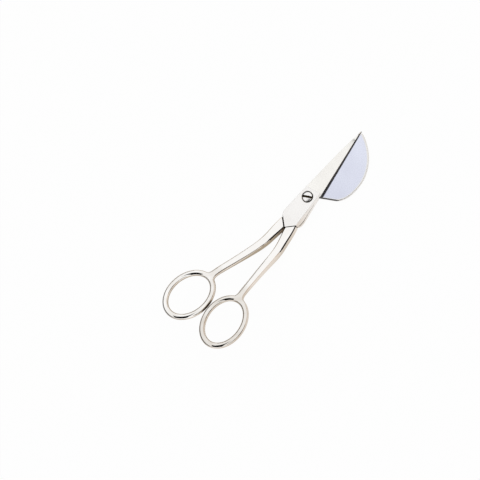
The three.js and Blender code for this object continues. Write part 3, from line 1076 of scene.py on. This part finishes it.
class Level:
    """A shader value that takes part in arithmetic: each operator adds a Math node."""

    def __init__(self, graph: "Graph", socket: NodeSocket) -> None:
        """Wraps an output socket of a graph."""
        self.graph = graph
        self.socket = socket

    def _math(self, operation: str, first: Number, second: Number = 0.0) -> "Level":
        """Adds one Math node."""
        return self.graph.level("ShaderNodeMath", {"operation": operation}, {0: first, 1: second})

    def __add__(self, other: Number) -> "Level":
        """Adds."""
        return self._math("ADD", self, other)

    __radd__ = __add__

    def __sub__(self, other: Number) -> "Level":
        """Subtracts."""
        return self._math("SUBTRACT", self, other)

    def __rsub__(self, other: Number) -> "Level":
        """Subtracts from a number."""
        return self._math("SUBTRACT", other, self)

    def __mul__(self, other: Number) -> "Level":
        """Multiplies."""
        return self._math("MULTIPLY", self, other)

    __rmul__ = __mul__

    def __truediv__(self, other: Number) -> "Level":
        """Divides."""
        return self._math("DIVIDE", self, other)

    def __rtruediv__(self, other: Number) -> "Level":
        """Divides a number."""
        return self._math("DIVIDE", other, self)

    def __abs__(self) -> "Level":
        """Takes the size without the sign."""
        return self._math("ABSOLUTE", self)

    def rise(self, low: float, high: float) -> "Level":
        """Rises smoothly from 0 at low to 1 at high."""
        inputs = {"Value": self, "From Min": low, "From Max": high}
        return self.graph.level("ShaderNodeMapRange", {"interpolation_type": "SMOOTHSTEP"}, inputs)

    def fall(self, low: float, high: float) -> "Level":
        """Falls smoothly from 1 at low to 0 at high."""
        return 1.0 - self.rise(low, high)


class Graph:
    """A node tree that is written in Python."""

    def __init__(self, tree: NodeTree) -> None:
        """Starts from an empty tree."""
        self.tree = tree
        tree.nodes.clear()

    @classmethod
    def of(cls, owner: Union[Material, World]) -> "Graph":
        """Starts the node tree of a material or a world."""
        owner.use_nodes = True
        return cls(owner.node_tree)

    def node(self, kind: str, settings: dict[str, Any], inputs: dict[Any, Any]) -> Node:
        """Adds any node.

        Args:
            kind: The node's type.
            settings: Its properties, which are set first.
            inputs: Values, levels or sockets for its inputs, by name or number.

        Returns:
            The node.
        """
        made = self.tree.nodes.new(kind)
        for name, value in settings.items():
            setattr(made, name, value)
        for name, value in inputs.items():
            if isinstance(value, Level):
                value = value.socket
            if isinstance(value, NodeSocket):
                self.tree.links.new(value, made.inputs[name])
            else:
                made.inputs[name].default_value = value
        return made

    def level(self, kind: str, settings: dict[str, Any], inputs: dict[Any, Any], output: Any = 0) -> Level:
        """Adds a node and gives one of its outputs as a value."""
        return Level(self, self.node(kind, settings, inputs).outputs[output])

    def split(self, vector: NodeSocket) -> tuple[Level, Level, Level]:
        """Takes a vector apart."""
        parts = self.node("ShaderNodeSeparateXYZ", {}, {0: vector}).outputs
        return Level(self, parts[0]), Level(self, parts[1]), Level(self, parts[2])

    def dot(self, first: Union[Vector, NodeSocket], second: Union[Vector, NodeSocket]) -> Level:
        """Gives the dot product of two vectors."""
        inputs = {0: first, 1: second}
        return self.level("ShaderNodeVectorMath", {"operation": "DOT_PRODUCT"}, inputs, "Value")

    def length(self, vector: NodeSocket) -> Level:
        """Gives the length of a vector."""
        return self.level("ShaderNodeVectorMath", {"operation": "LENGTH"}, {0: vector}, "Value")

    def mix(self, share: Number, first: Shade, second: Shade) -> NodeSocket:
        """Mixes two colours, each a colour or a socket.

        Args:
            share: Share of the second colour.
            first: The first colour.
            second: The second colour.

        Returns:
            The mixed colour.
        """
        first, second = (
            value if isinstance(value, NodeSocket) else (*value, 1.0) for value in (first, second)
        )
        inputs = {0: share, 6: first, 7: second}
        return self.node("ShaderNodeMix", {"data_type": "RGBA"}, inputs).outputs[2]

    def noise(self, place: NodeSocket, size: float, detail: float = 2.0) -> Level:
        """Gives soft noise with patches of a size in millimetres."""
        inputs = {"Vector": place, "Scale": 1.0 / size, "Detail": detail}
        return self.level("ShaderNodeTexNoise", {}, inputs, "Fac")

    def stretched(self, place: NodeSocket, scale: tuple[float, float, float]) -> NodeSocket:
        """Scales a place by axis."""
        return self.node("ShaderNodeMapping", {}, {"Vector": place, "Scale": scale}).outputs[0]


class Lay(Enum):
    """The way in which the fine marks of a tool run over a surface."""

    ALONG = "along the blades"
    ACROSS = "across the blades"
    TURNED = "round the pivot"


@dataclass(frozen=True)
class Finish:
    """A metal surface: slow shifts of tone, uneven polish, the tool's fine marks and worn edges, in mm.

    A span is the range of a noise, a distance or a bend over which its mark fades in or out.
    """

    name: str
    tint: Colour
    shifted: Colour
    worn: Colour
    roughness: float
    uneven: float = 0.06
    lay: Lay = Lay.ALONG
    mark_depth: float = 0.0006
    mark_pitch: float = 0.09
    mark_length: float = 6.0
    mark_rough: float = 0.5
    wave_depth: float = 0.006
    wave_size: float = 5.0
    smudge_waves: float = 1.3
    smudge_span: Span = (0.3, 0.75)
    tone_size: float = 9.0
    tone_span: Span = (0.35, 0.7)
    pore_size: float = 2.4
    pore_span: Span = (0.02, 0.05)
    pore_share: float = 0.25
    pore_patches: float = 3.0
    patch_span: Span = (0.5, 0.62)
    edge_radius: float = 0.2
    edge_samples: int = 4
    edge_span: Span = (0.01, 0.12)
    edge_share: float = 0.6
    edge_rough: float = 0.06
    metallic: float = 1.0
    ring_detail: float = 1.0
    detail: float = 3.0
    fine_detail: float = 4.0

    def marks(self, graph: Graph, place: NodeSocket) -> Level:
        """Gives the height of the tool's marks.

        Args:
            graph: The finish's node tree.
            place: Place on the piece, in mm from the pivot.

        Returns:
            Noise from 0 to 1 that is drawn out along the lay.
        """
        if self.lay is Lay.TURNED:
            radius = graph.length(graph.stretched(place, (1.0, 1.0, 0.0)))
            ring = graph.node("ShaderNodeCombineXYZ", {}, {0: radius / self.mark_pitch})
            return graph.noise(ring.outputs[0], 1.0, self.ring_detail)
        fine, drawn = 1.0 / self.mark_pitch, 1.0 / self.mark_length
        scale = (drawn, fine, fine) if self.lay is Lay.ALONG else (fine, drawn, drawn)
        return graph.noise(graph.stretched(place, scale), 1.0, self.detail)

    def shift(self, graph: Graph, place: NodeSocket) -> Level:
        """Gives how far the tint has shifted at a place, in slow patches."""
        return graph.noise(place, self.tone_size, self.detail).rise(*self.tone_span)

    def tone(self, graph: Graph, place: NodeSocket, edges: Level) -> NodeSocket:
        """Gives the colour.

        Args:
            graph: The finish's node tree.
            place: Place on the piece, in mm from the pivot.
            edges: 1 on the piece's sharp edges, 0 on its faces.

        Returns:
            The tint with its slow shifts, its pores and its worn edges.
        """
        inputs = {"Vector": place, "Scale": 1.0 / self.pore_size}
        pores = graph.level("ShaderNodeTexVoronoi", {}, inputs, "Distance").fall(*self.pore_span)
        sparse = graph.noise(place, self.pore_patches * self.pore_size).rise(*self.patch_span)
        colour = graph.mix(self.shift(graph, place), self.tint, self.shifted)
        colour = graph.mix(pores * sparse * self.pore_share, colour, self.worn)
        return graph.mix(edges * self.edge_share, colour, self.worn)

    def material(self) -> Material:
        """Makes the material.

        Returns:
            The material, which reads its pattern from the place on the piece.
        """
        made = bpy.data.materials.new(self.name)
        graph = Graph.of(made)
        found = graph.node("ShaderNodeTexCoord", {}, {}).outputs["Object"]
        in_mm = {"Vector": found, "Location": -PIVOT / MM, "Scale": (1 / MM, 1 / MM, 1 / MM)}
        place = graph.node("ShaderNodeMapping", {}, in_mm).outputs[0]
        radius = {"Radius": self.edge_radius * MM}
        softened = graph.node("ShaderNodeBevel", {"samples": self.edge_samples}, radius).outputs[0]
        facing = graph.node("ShaderNodeNewGeometry", {}, {}).outputs["Normal"]
        edges = (1.0 - graph.dot(softened, facing)).rise(*self.edge_span)
        marks = self.marks(graph, place)
        smudges = graph.noise(place, self.smudge_waves * self.wave_size, self.fine_detail)
        polish = self.roughness + smudges.rise(*self.smudge_span) * self.uneven
        relief = graph.node(
            "ShaderNodeBump",
            {},
            {
                "Strength": 1.0,
                "Distance": MM,
                "Height": graph.noise(place, self.wave_size) * self.wave_depth + marks * self.mark_depth,
                "Normal": softened,
            },
        )
        shader = graph.node(
            "ShaderNodeBsdfPrincipled",
            {},
            {
                "Base Color": self.tone(graph, place, edges),
                "Metallic": self.metallic,
                "Roughness": polish + marks * (self.mark_rough * self.uneven) + edges * self.edge_rough,
                "Normal": relief.outputs[0],
            },
        )
        graph.node("ShaderNodeOutputMaterial", {}, {"Surface": shader.outputs[0]})
        return made


@dataclass(frozen=True)
class HandleNickel(Finish):
    """Mirror nickel with painted shade where the two handles meet: in the crotch and between the bows."""

    painted_shade: Colour = (0.11, 0.065, 0.022)
    painted_shade_least: float = 0.7
    painted_shade_side: Span = (0.5, 1.0)
    painted_tan_shade: Colour = (0.62, 0.5, 0.34)
    painted_tan_least: float = 0.2
    painted_tan_side: Span = (0.3, 1.7)
    greyed: Colour = (0.72, 0.675, 0.615)
    grey_side: Span = (-5.0, 2.0)
    grey_side_share: float = 0.55
    grey_size: float = 9.0
    grey_span: Span = (0.4, 0.65)
    grey_share: float = 0.4
    crotch_along: Span = (-37.0, -21.0)
    crotch_side: Span = (1.0, 3.4)
    crotch_upward: Span = (0.2, 0.6)
    crotch_above: Span = (0.6, 2.4)
    bows_along: Span = (-66.0, -58.0)
    breakup_size: float = 1.6
    breakup_share: float = 0.8

    def tone(self, graph: Graph, place: NodeSocket, edges: Level) -> NodeSocket:
        """Gives the colour, with painted shade on the faces that face the other handle.

        Args:
            graph: The finish's node tree.
            place: Place on the piece, in mm from the pivot.
            edges: 1 on the piece's sharp edges, 0 on its faces.

        Returns:
            The colour with its painted shade.
        """
        along, side, height = graph.split(place)
        _, _, upward = graph.split(graph.node("ShaderNodeNewGeometry", {}, {}).outputs["Normal"])
        breakup = graph.noise(place, self.breakup_size, self.fine_detail) * self.breakup_share
        low = height.fall(*(PivotPlate.thickness + above for above in self.crotch_above))
        # Painted shade in the crotch: the shanks' low walls near the V that do not face up.
        crotch = abs(side).fall(*self.crotch_side) * along.rise(*self.crotch_along)
        crotch = crotch * upward.fall(*self.crotch_upward) * low
        bows = along.fall(*self.bows_along)
        # Greyer over the whole right bow, and in random patches over both bows.
        patches = graph.noise(place, self.grey_size, self.detail).rise(*self.grey_span)
        greying = side.fall(*self.grey_side) * self.grey_side_share + patches * self.grey_share
        colour = graph.mix(greying * bows, super().tone(graph, place, edges), self.greyed)
        # Tan painted shade on the bows around the place where they touch.
        tan_shading = abs(side).fall(*self.painted_tan_side) * bows * (self.painted_tan_least + breakup)
        colour = graph.mix(tan_shading, colour, self.painted_tan_shade)
        # Dark painted shade in the crotch and where the two bows touch.
        painted_shading = crotch * (self.painted_shade_least + breakup) + abs(side).fall(*self.painted_shade_side) * bows
        return graph.mix(painted_shading, colour, self.painted_shade)


@dataclass(frozen=True)
class PaddleNickel(Finish):
    """Nickel with a painted bluish reflection, which pales along the paddle, towards its tip."""

    pale_along: Span = (4.0, 42.0)
    patches: float = 0.4

    def shift(self, graph: Graph, place: NodeSocket) -> Level:
        """Gives how far the tint has shifted at a place: slow patches over a rise towards the tip.

        Args:
            graph: The finish's node tree.
            place: Place on the piece, in mm from the pivot.

        Returns:
            0 where the tint is the first one, 1 where it has shifted.
        """
        along, _, _ = graph.split(place)
        rise = along.rise(*self.pale_along) * (1.0 - self.patches)
        return rise + super().shift(graph, place) * self.patches


@dataclass(frozen=True)
class Card:
    """A card of the studio, far from the object, which the polished metal mirrors. Angles are in degrees."""

    azimuth: float
    zenith: float
    height: float
    width: float
    shade: Colour
    soft: float = 0.03
    facing: Span = (0.0, 0.05)

    def edge(self, offset: Level, angle: float) -> Level:
        """Falls from 1 to 0 across the card's soft edge, where it reaches an angle from side to side."""
        reach = math.tan(math.radians(angle / 2))
        return offset.fall(reach - self.soft, reach + self.soft)

    def cover(self, graph: Graph, look: NodeSocket) -> Level:
        """Gives how much of a direction the card covers.

        Args:
            graph: The world's node tree.
            look: The direction.

        Returns:
            1 on the card, 0 off it.
        """
        swing = Matrix.Rotation(math.radians(self.azimuth), 3, "Z")
        spin = swing @ Matrix.Rotation(math.radians(self.zenith), 3, "Y")
        front = graph.dot(look, spin @ UP)
        up = abs(graph.dot(look, spin @ flat(1.0, 0.0)) / front)
        side = abs(graph.dot(look, spin @ flat(0.0, 1.0)) / front)
        return self.edge(up, self.height) * self.edge(side, self.width) * front.rise(*self.facing)


@dataclass
class Studio:
    """Floor, light and camera, in metres. The floor's spans say where one of its tones runs into the next."""

    roll: float = math.radians(23)
    lens: float = 250.0
    sensor: float = 36.0
    view_end: float = 30.0
    frame_width: float = 0.2763
    aim: tuple[float, float, float] = (-0.0164, 0.0170, 0.00525)
    tilt: Span = (0.795, 0.606)
    floor_size: float = 4.0
    floor_glow: float = 0.96
    floor_rough: float = 0.9
    floor_near_shade: Colour = (0.8, 0.73, 0.66)
    floor_under_shadow: Colour = (0.43, 0.36, 0.27)
    under_side: Span = (-0.012, -0.003)
    under_along: Span = (-0.005, 0.01)
    floor_far: Colour = (0.97, 0.95, 0.93)
    far_away: Span = (0.09, 0.2)
    far_along: Span = (0.005, 0.03)
    floor_behind_shade: Colour = (0.36, 0.35, 0.34)
    behind_side: Span = (0.0, 0.05)
    behind_along: Span = (-0.09, -0.05)
    sky: Colour = WHITE
    cards: tuple[Card, ...] = (
        Card(312.0, 86.0, 34.0, 100.0, (0.6, 0.47, 0.36), 0.2),
        Card(119.0, 85.0, 40.0, 134.0, (0.02, 0.019, 0.018), 0.05),
        Card(206.0, 45.0, 64.0, 42.0, (0.002, 0.002, 0.002)),
        Card(228.0, 8.5, 16.0, 23.0, (0.002, 0.002, 0.002)),
        Card(277.0, 67.0, 11.0, 66.0, (0.01, 0.008, 0.006)),
        Card(289.0, 76.0, 10.0, 16.0, (0.01, 0.008, 0.006)),
    )

    def camera(self) -> None:
        """Sets the camera at the photograph's viewing angle."""
        back = Vector((0.0, -math.sin(self.roll), math.cos(self.roll)))
        side = Vector((0.0, math.cos(self.roll), math.sin(self.roll)))
        up = (flat(1.0, 0.0) * self.tilt[0] + side * self.tilt[1]).normalized()
        data = bpy.data.cameras.new("camera")
        data.lens = self.lens
        data.sensor_width = self.sensor
        data.clip_end = self.view_end
        camera = bpy.data.objects.new("camera", data)
        bpy.context.scene.collection.objects.link(camera)
        turn = Matrix((up.cross(back), up, back)).transposed().to_4x4()
        distance = self.frame_width * self.lens / self.sensor
        camera.matrix_world = Matrix.Translation(Vector(self.aim) + back * distance) @ turn
        bpy.context.scene.camera = camera

    def floor_tone(self, graph: Graph) -> NodeSocket:
        """Gives the floor's tone, which the metal mirrors: painted shade near the object, a darker painted
        shadow under it, grey painted shade behind it, and pale far away.

        Args:
            graph: The floor's node tree.

        Returns:
            A colour that changes with the place on the floor.
        """
        place = graph.node("ShaderNodeTexCoord", {}, {}).outputs["Object"]
        along, side, _ = graph.split(place)
        # Painted shadow under the object, and painted shade round it.
        under = side.rise(*self.under_side) * along.fall(*self.under_along)
        tone = graph.mix(under, self.floor_near_shade, self.floor_under_shadow)
        away = 1.0 - graph.length(place).fall(*self.far_away) * along.fall(*self.far_along)
        tone = graph.mix(away, tone, self.floor_far)
        # Grey painted shade behind the object.
        behind = side.rise(*self.behind_side) * along.fall(*self.behind_along)
        return graph.mix(behind, tone, self.floor_behind_shade)

    def floor(self) -> None:
        """Lays a pale floor, which the camera sees as white with the object's soft shadow."""
        made = bpy.data.materials.new("floor")
        graph = Graph.of(made)
        path = graph.node("ShaderNodeLightPath", {}, {}).outputs
        seen, mirrored, through = (
            Level(graph, path[kind]) for kind in ("Is Camera Ray", "Is Glossy Ray", "Is Transmission Ray")
        )
        # The camera sees white; mirrored and refracted rays see the floor's painted shade.
        shown = graph.mix(seen, self.floor_tone(graph), WHITE)
        matt = {"Base Color": shown, "Roughness": self.floor_rough, "Specular IOR Level": 0.0}
        paper = graph.node("ShaderNodeBsdfPrincipled", {}, matt)
        glow = graph.node("ShaderNodeEmission", {}, {"Color": shown, "Strength": 1.0})
        share = (seen + mirrored + through) * self.floor_glow
        inputs = {0: share, 1: paper.outputs[0], 2: glow.outputs[0]}
        both = graph.node("ShaderNodeMixShader", {}, inputs)
        graph.node("ShaderNodeOutputMaterial", {}, {"Surface": both.outputs[0]})
        bm = bmesh.new()
        bmesh.ops.create_grid(bm, x_segments=1, y_segments=1, size=self.floor_size)
        sheet = Bench.place(bm, "floor", made)

    def world(self) -> None:
        """Surrounds the object with soft white light and a few cards; the camera sees plain white."""
        world = bpy.data.worlds.new("studio")
        bpy.context.scene.world = world
        graph = Graph.of(world)
        look = graph.node("ShaderNodeTexCoord", {}, {}).outputs["Generated"]
        light: Shade = self.sky
        for card in self.cards:
            light = graph.mix(card.cover(graph, look), light, card.shade)
        seen = graph.level("ShaderNodeLightPath", {}, {}, "Is Camera Ray")
        light = graph.mix(seen, light, WHITE)
        glow = graph.node("ShaderNodeBackground", {}, {"Color": light, "Strength": 1.0})
        graph.node("ShaderNodeOutputWorld", {}, {"Surface": glow.outputs[0]})


@dataclass(frozen=True)
class Finishes:
    """The finishes of the scissors."""

    handle: Material
    plate: Material
    blade: Material
    paddle: Material
    rim: Material
    ground: Material
    # Painted shade in the gaps and recesses.
    joint: Material
    screw: Material

    @classmethod
    def make(cls) -> "Finishes":
        """Makes every finish once.

        Returns:
            The materials.
        """
        finishes: dict[str, Finish] = {
            "handle": HandleNickel(
                "handle_nickel", (0.96, 0.945, 0.925), (0.935, 0.915, 0.89), (0.9, 0.87, 0.84), 0.03,
                uneven=0.03, mark_depth=0.0001, wave_depth=0.004, edge_radius=0.06,
            ),
            "plate": Finish(
                "satin_nickel", (0.93, 0.915, 0.9), (0.9, 0.88, 0.86), (0.97, 0.96, 0.95), 0.2,
                mark_depth=0.0004,
            ),
            "blade": Finish(
                "blade_nickel", (0.945, 0.93, 0.895), (0.92, 0.9, 0.865), (0.99, 0.985, 0.98), 0.16,
                lay=Lay.ACROSS, mark_depth=0.0004,
            ),
            # The bluish tint is a painted reflection of bluish light.
            "paddle": PaddleNickel(
                "paddle_nickel", (0.665, 0.685, 0.8), (0.75, 0.775, 0.89), (0.93, 0.94, 0.97), 0.14,
                lay=Lay.ACROSS, tone_size=14.0,
            ),
            "rim": Finish(
                "rim_nickel", (0.8, 0.785, 0.77), (0.85, 0.845, 0.84), (0.9, 0.89, 0.88), 0.2,
            ),
            # Real ground bevels, painted near black as a painted dark reflection of their facets.
            "ground": Finish(
                "ground_steel_painted_dark", (0.13, 0.13, 0.13), (0.09, 0.09, 0.09), (0.25, 0.25, 0.25), 0.26,
                lay=Lay.ACROSS, mark_depth=0.002, mark_length=2.0,
            ),
            # Painted shade: near black in the gaps at the V, the seam, the slot, the head's seat and the
            # scored lines.
            "joint": Finish(
                "recess_painted_shade", (0.045, 0.032, 0.018), (0.025, 0.018, 0.01), (0.08, 0.06, 0.04), 0.42,
                uneven=0.12,
            ),
            "screw": Finish(
                "turned_steel", (0.94, 0.93, 0.92), (0.9, 0.88, 0.87), (0.8, 0.78, 0.76), 0.18,
                lay=Lay.TURNED, mark_depth=0.0012, tone_size=3.0,
            ),
        }
        return cls(**{part: finish.material() for part, finish in finishes.items()})


class Piece:
    """What each piece has: its name, the CAD node that it stands for, its body and its slot."""

    name: ClassVar[str]
    node: ClassVar[str]
    body: ClassVar[Body]
    slot: ClassVar[str]

    def dress(self, made: Object) -> None:
        """Shades a built piece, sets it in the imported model's frame and lets it stand for its node.

        Args:
            made: The piece, in millimetres from the pivot.
        """
        Bench.shade(made)
        pivot = PIVOT + UP * PivotPlate.thickness * MM
        made.data.transform(Matrix.Translation(pivot) @ Matrix.Scale(MM, 4))
        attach(made, self.body.value)
        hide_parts(self.node)
        log.info("%s: %d faces", made.name, len(made.data.polygons))


@dataclass
class PivotScrew(Piece):
    """The slotted screw: domed head, smooth shoulder in the pointed half, thread in the other, in mm."""

    head_radius: float = 2.8
    head_height: float = 1.2
    dome: float = 0.35
    dome_steps: int = 8
    rim_round: float = 0.12
    rim_turn: float = math.radians(70)
    rim_steps: int = 3
    sunk: float = 1.25
    head_gap: float = 0.5
    slot_width: float = 1.3
    slot_depth: float = 0.9
    slot_turn: float = math.radians(114)
    slot_radii: float = 4.0
    slot_height: float = 4.0
    pin_radius: float = 1.8
    thread_radius: float = 1.55
    thread_depth: float = 0.12
    thread_pitch: float = 0.4
    pin_clearance: float = 0.06
    thread_clearance: float = 0.05
    end_shy: float = 0.15
    end_chamfer: float = 0.3
    seat_break: float = 0.28
    sides: int = 72

    name = "slotted_screw"
    node = "pivot_screw"
    body = Body.LOWER
    slot = "screw_steel"

    def spun(self, profile: Sequence[Span]) -> BMesh:
        """Spins a profile into a closed solid about the pivot axis.

        Args:
            profile: Radii and heights, from the axis round to the axis.

        Returns:
            The solid.
        """
        bm = bmesh.new()
        corners = [bm.verts.new((radius, 0.0, height)) for radius, height in profile]
        for pair in zip(corners, corners[1:]):
            bm.edges.new(pair)
        spin_round(bm, self.sides)
        bmesh.ops.remove_doubles(bm, verts=bm.verts, dist=MERGE)
        return bm

    def head_rim(self, plate: PivotPlate) -> float:
        """Gives the height of the head's rim."""
        return plate.thickness - self.sunk + plate.ride_gap / 2 + self.head_height

    def build(self, finishes: Finishes, plate: PivotPlate) -> Object:
        """Builds the screw and cuts its slot.

        Args:
            finishes: The finishes of the scissors.
            plate: The pivot plate of both halves.

        Returns:
            The screw.
        """
        made = Bench.place(self.blank(plate), self.name, finishes.screw)
        # The slot's walls take painted shade.
        Bench.cut(made, self.slot_space(plate), finishes.joint)
        return made

    def blank(self, plate: PivotPlate) -> BMesh:
        """Models the screw before its slot is cut.

        Args:
            plate: The pivot plate of both halves.

        Returns:
            The screw, from its thread up to its dome.
        """
        gap = plate.ride_gap / 2
        seat = plate.thickness - self.sunk + gap
        rim = self.head_rim(plate)
        end = -plate.thickness + self.end_shy
        profile = [(0.0, end), (self.thread_radius - self.end_chamfer, end)]
        height = end + self.end_chamfer
        while height < -self.thread_pitch:
            profile.append((self.thread_radius, height))
            profile.append((self.thread_radius - self.thread_depth, height + self.thread_pitch / 2))
            height += self.thread_pitch
        profile += [
            (self.thread_radius, height),
            (self.thread_radius, gap),
            (self.pin_radius, gap),
            (self.pin_radius, seat),
            (self.head_radius, seat),
            (self.head_radius, rim - self.rim_round),
        ]
        for step in range(1, self.rim_steps + 1):
            turn = step / self.rim_steps * self.rim_turn
            inset, drop = (self.rim_round * (1 - part) for part in (math.cos(turn), math.sin(turn)))
            profile.append((self.head_radius - inset, rim - drop))
        wide, low = profile[-1]
        for step in range(1, self.dome_steps + 1):
            share = 1 - step / self.dome_steps
            profile.append((wide * share, low + (rim + self.dome - low) * (1 - share * share)))
        return self.spun(profile)

    def slot_space(self, plate: PivotPlate) -> BMesh:
        """Models the room of the driver slot.

        Args:
            plate: The pivot plate of both halves.

        Returns:
            A block that reaches past the head on both sides.
        """
        floor = self.head_rim(plate) + self.dome - self.slot_depth
        lift = Matrix.Translation(UP * (floor + self.slot_height / 2))
        turn = Matrix.Rotation(self.slot_turn, 4, "Z")
        return block((self.slot_radii * self.head_radius, self.slot_width, self.slot_height), turn @ lift)

    def seat_space(self, plate: PivotPlate) -> BMesh:
        """Models the room of the head's seat, with a bright broken edge, and the shoulder's bore.

        Args:
            plate: The plate that the seat is sunk in.

        Returns:
            The room. Its second finish is on the seat's wall and broken edge.
        """
        floor = plate.thickness - self.sunk
        wide = self.head_radius + self.head_gap
        broken = wide + 2 * self.seat_break
        bore = self.pin_radius + self.pin_clearance
        bm = self.spun(
            [
                (0.0, -FAR),
                (bore, -FAR),
                (bore, floor),
                (wide, floor),
                (wide, plate.thickness - self.seat_break),
                (broken, plate.thickness + self.seat_break),
                (broken, FAR),
                (0.0, FAR),
            ]
        )
        for face in bm.faces:
            if min(corner.co.z for corner in face.verts) > floor + NEAR:
                face.material_index = 1
        return bm

    def thread_space(self) -> BMesh:
        """Models the tapped hole in the duckbill half."""
        bore = self.thread_radius + self.thread_clearance
        return self.spun([(0.0, -FAR), (bore, -FAR), (bore, FAR), (0.0, FAR)])


@dataclass
class PointedHalf(Piece):
    """The upper forging: right handle, pivot plate with the screw's seat, and pointed blade."""

    plate: PivotPlate = field(default_factory=PivotPlate)
    blade: PointedBlade = field(default_factory=PointedBlade)
    handle: Handle = field(default_factory=Handle)

    name = "pointed_forging"
    node = "pointed_half"
    body = Body.UPPER
    slot = "nickel_plate_pointed"

    def build(self, finishes: Finishes, screw: PivotScrew) -> Object:
        """Builds the half around a screw.

        Args:
            finishes: The finishes of the scissors.
            screw: The screw that it turns on.

        Returns:
            The half.
        """
        made = Bench.place(self.plate.build(), self.name, finishes.plate, finishes.joint)
        blade = Bench.place(self.blade.build(self.plate), "blade", finishes.blade, finishes.ground)
        Bench.join(made, blade, Joinery.UNITE)
        Bench.join(made, self.handle.solid(self.plate, finishes, True), Joinery.UNITE)
        # The seat's floor, seen round the head as a dark ring, takes painted shade; its wall and broken edge
        # take the plate's finish.
        Bench.cut(made, screw.seat_space(self.plate), finishes.joint, finishes.plate)
        Bench.cut(made, self.plate.bolster_line(), finishes.plate)
        # The scored lines along the V take painted shade.
        for side in (1.0, -1.0):
            Bench.cut(made, self.plate.shoulder_line(side), finishes.joint)
        return made


@dataclass
class DuckbillHalf(Piece):
    """The lower forging: left handle, pivot plate with the screw's thread, and duckbill."""

    plate: PivotPlate = field(default_factory=PivotPlate)
    paddle: Duckbill = field(default_factory=Duckbill)
    handle: Handle = field(default_factory=Handle)

    name = "duckbill_forging"
    node = "duckbill_half"
    body = Body.LOWER
    slot = "nickel_plate_duckbill"

    def build(self, finishes: Finishes, screw: PivotScrew) -> Object:
        """Builds the half around a screw.

        Args:
            finishes: The finishes of the scissors.
            screw: The screw that it holds.

        Returns:
            The half.
        """
        lower = self.plate.build()
        bmesh.ops.transform(lower, matrix=HALF_TURN, verts=lower.verts)
        made = Bench.place(lower, self.name, finishes.plate, finishes.joint)
        blade = self.paddle.build(self.plate)
        paddle = Bench.place(blade, "paddle", finishes.paddle, finishes.ground, finishes.rim)
        Bench.join(made, paddle, Joinery.UNITE)
        Bench.join(made, self.handle.solid(self.plate, finishes, False), Joinery.UNITE)
        Bench.cut(made, screw.thread_space(), finishes.joint)
        return made


@dataclass
class Scissors:
    """The whole tool."""

    pointed: PointedHalf = field(default_factory=PointedHalf)
    duckbill: DuckbillHalf = field(default_factory=DuckbillHalf)
    screw: PivotScrew = field(default_factory=PivotScrew)

    def make(self) -> None:
        """Builds and dresses the pieces in order."""
        finishes = Finishes.make()
        self.pointed.dress(self.pointed.build(finishes, self.screw))
        self.duckbill.dress(self.duckbill.build(finishes, self.screw))
        self.screw.dress(self.screw.build(finishes, self.pointed.plate))


def main() -> None:
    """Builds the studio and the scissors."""
    logging.basicConfig(level=logging.INFO, format="%(name)s: %(message)s")
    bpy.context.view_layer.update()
    bpy.context.scene.view_settings.view_transform = "Standard"
    studio = Studio()
    studio.camera()
    studio.floor()
    studio.world()
    Scissors().make()


if __name__ == "__main__":
    main()
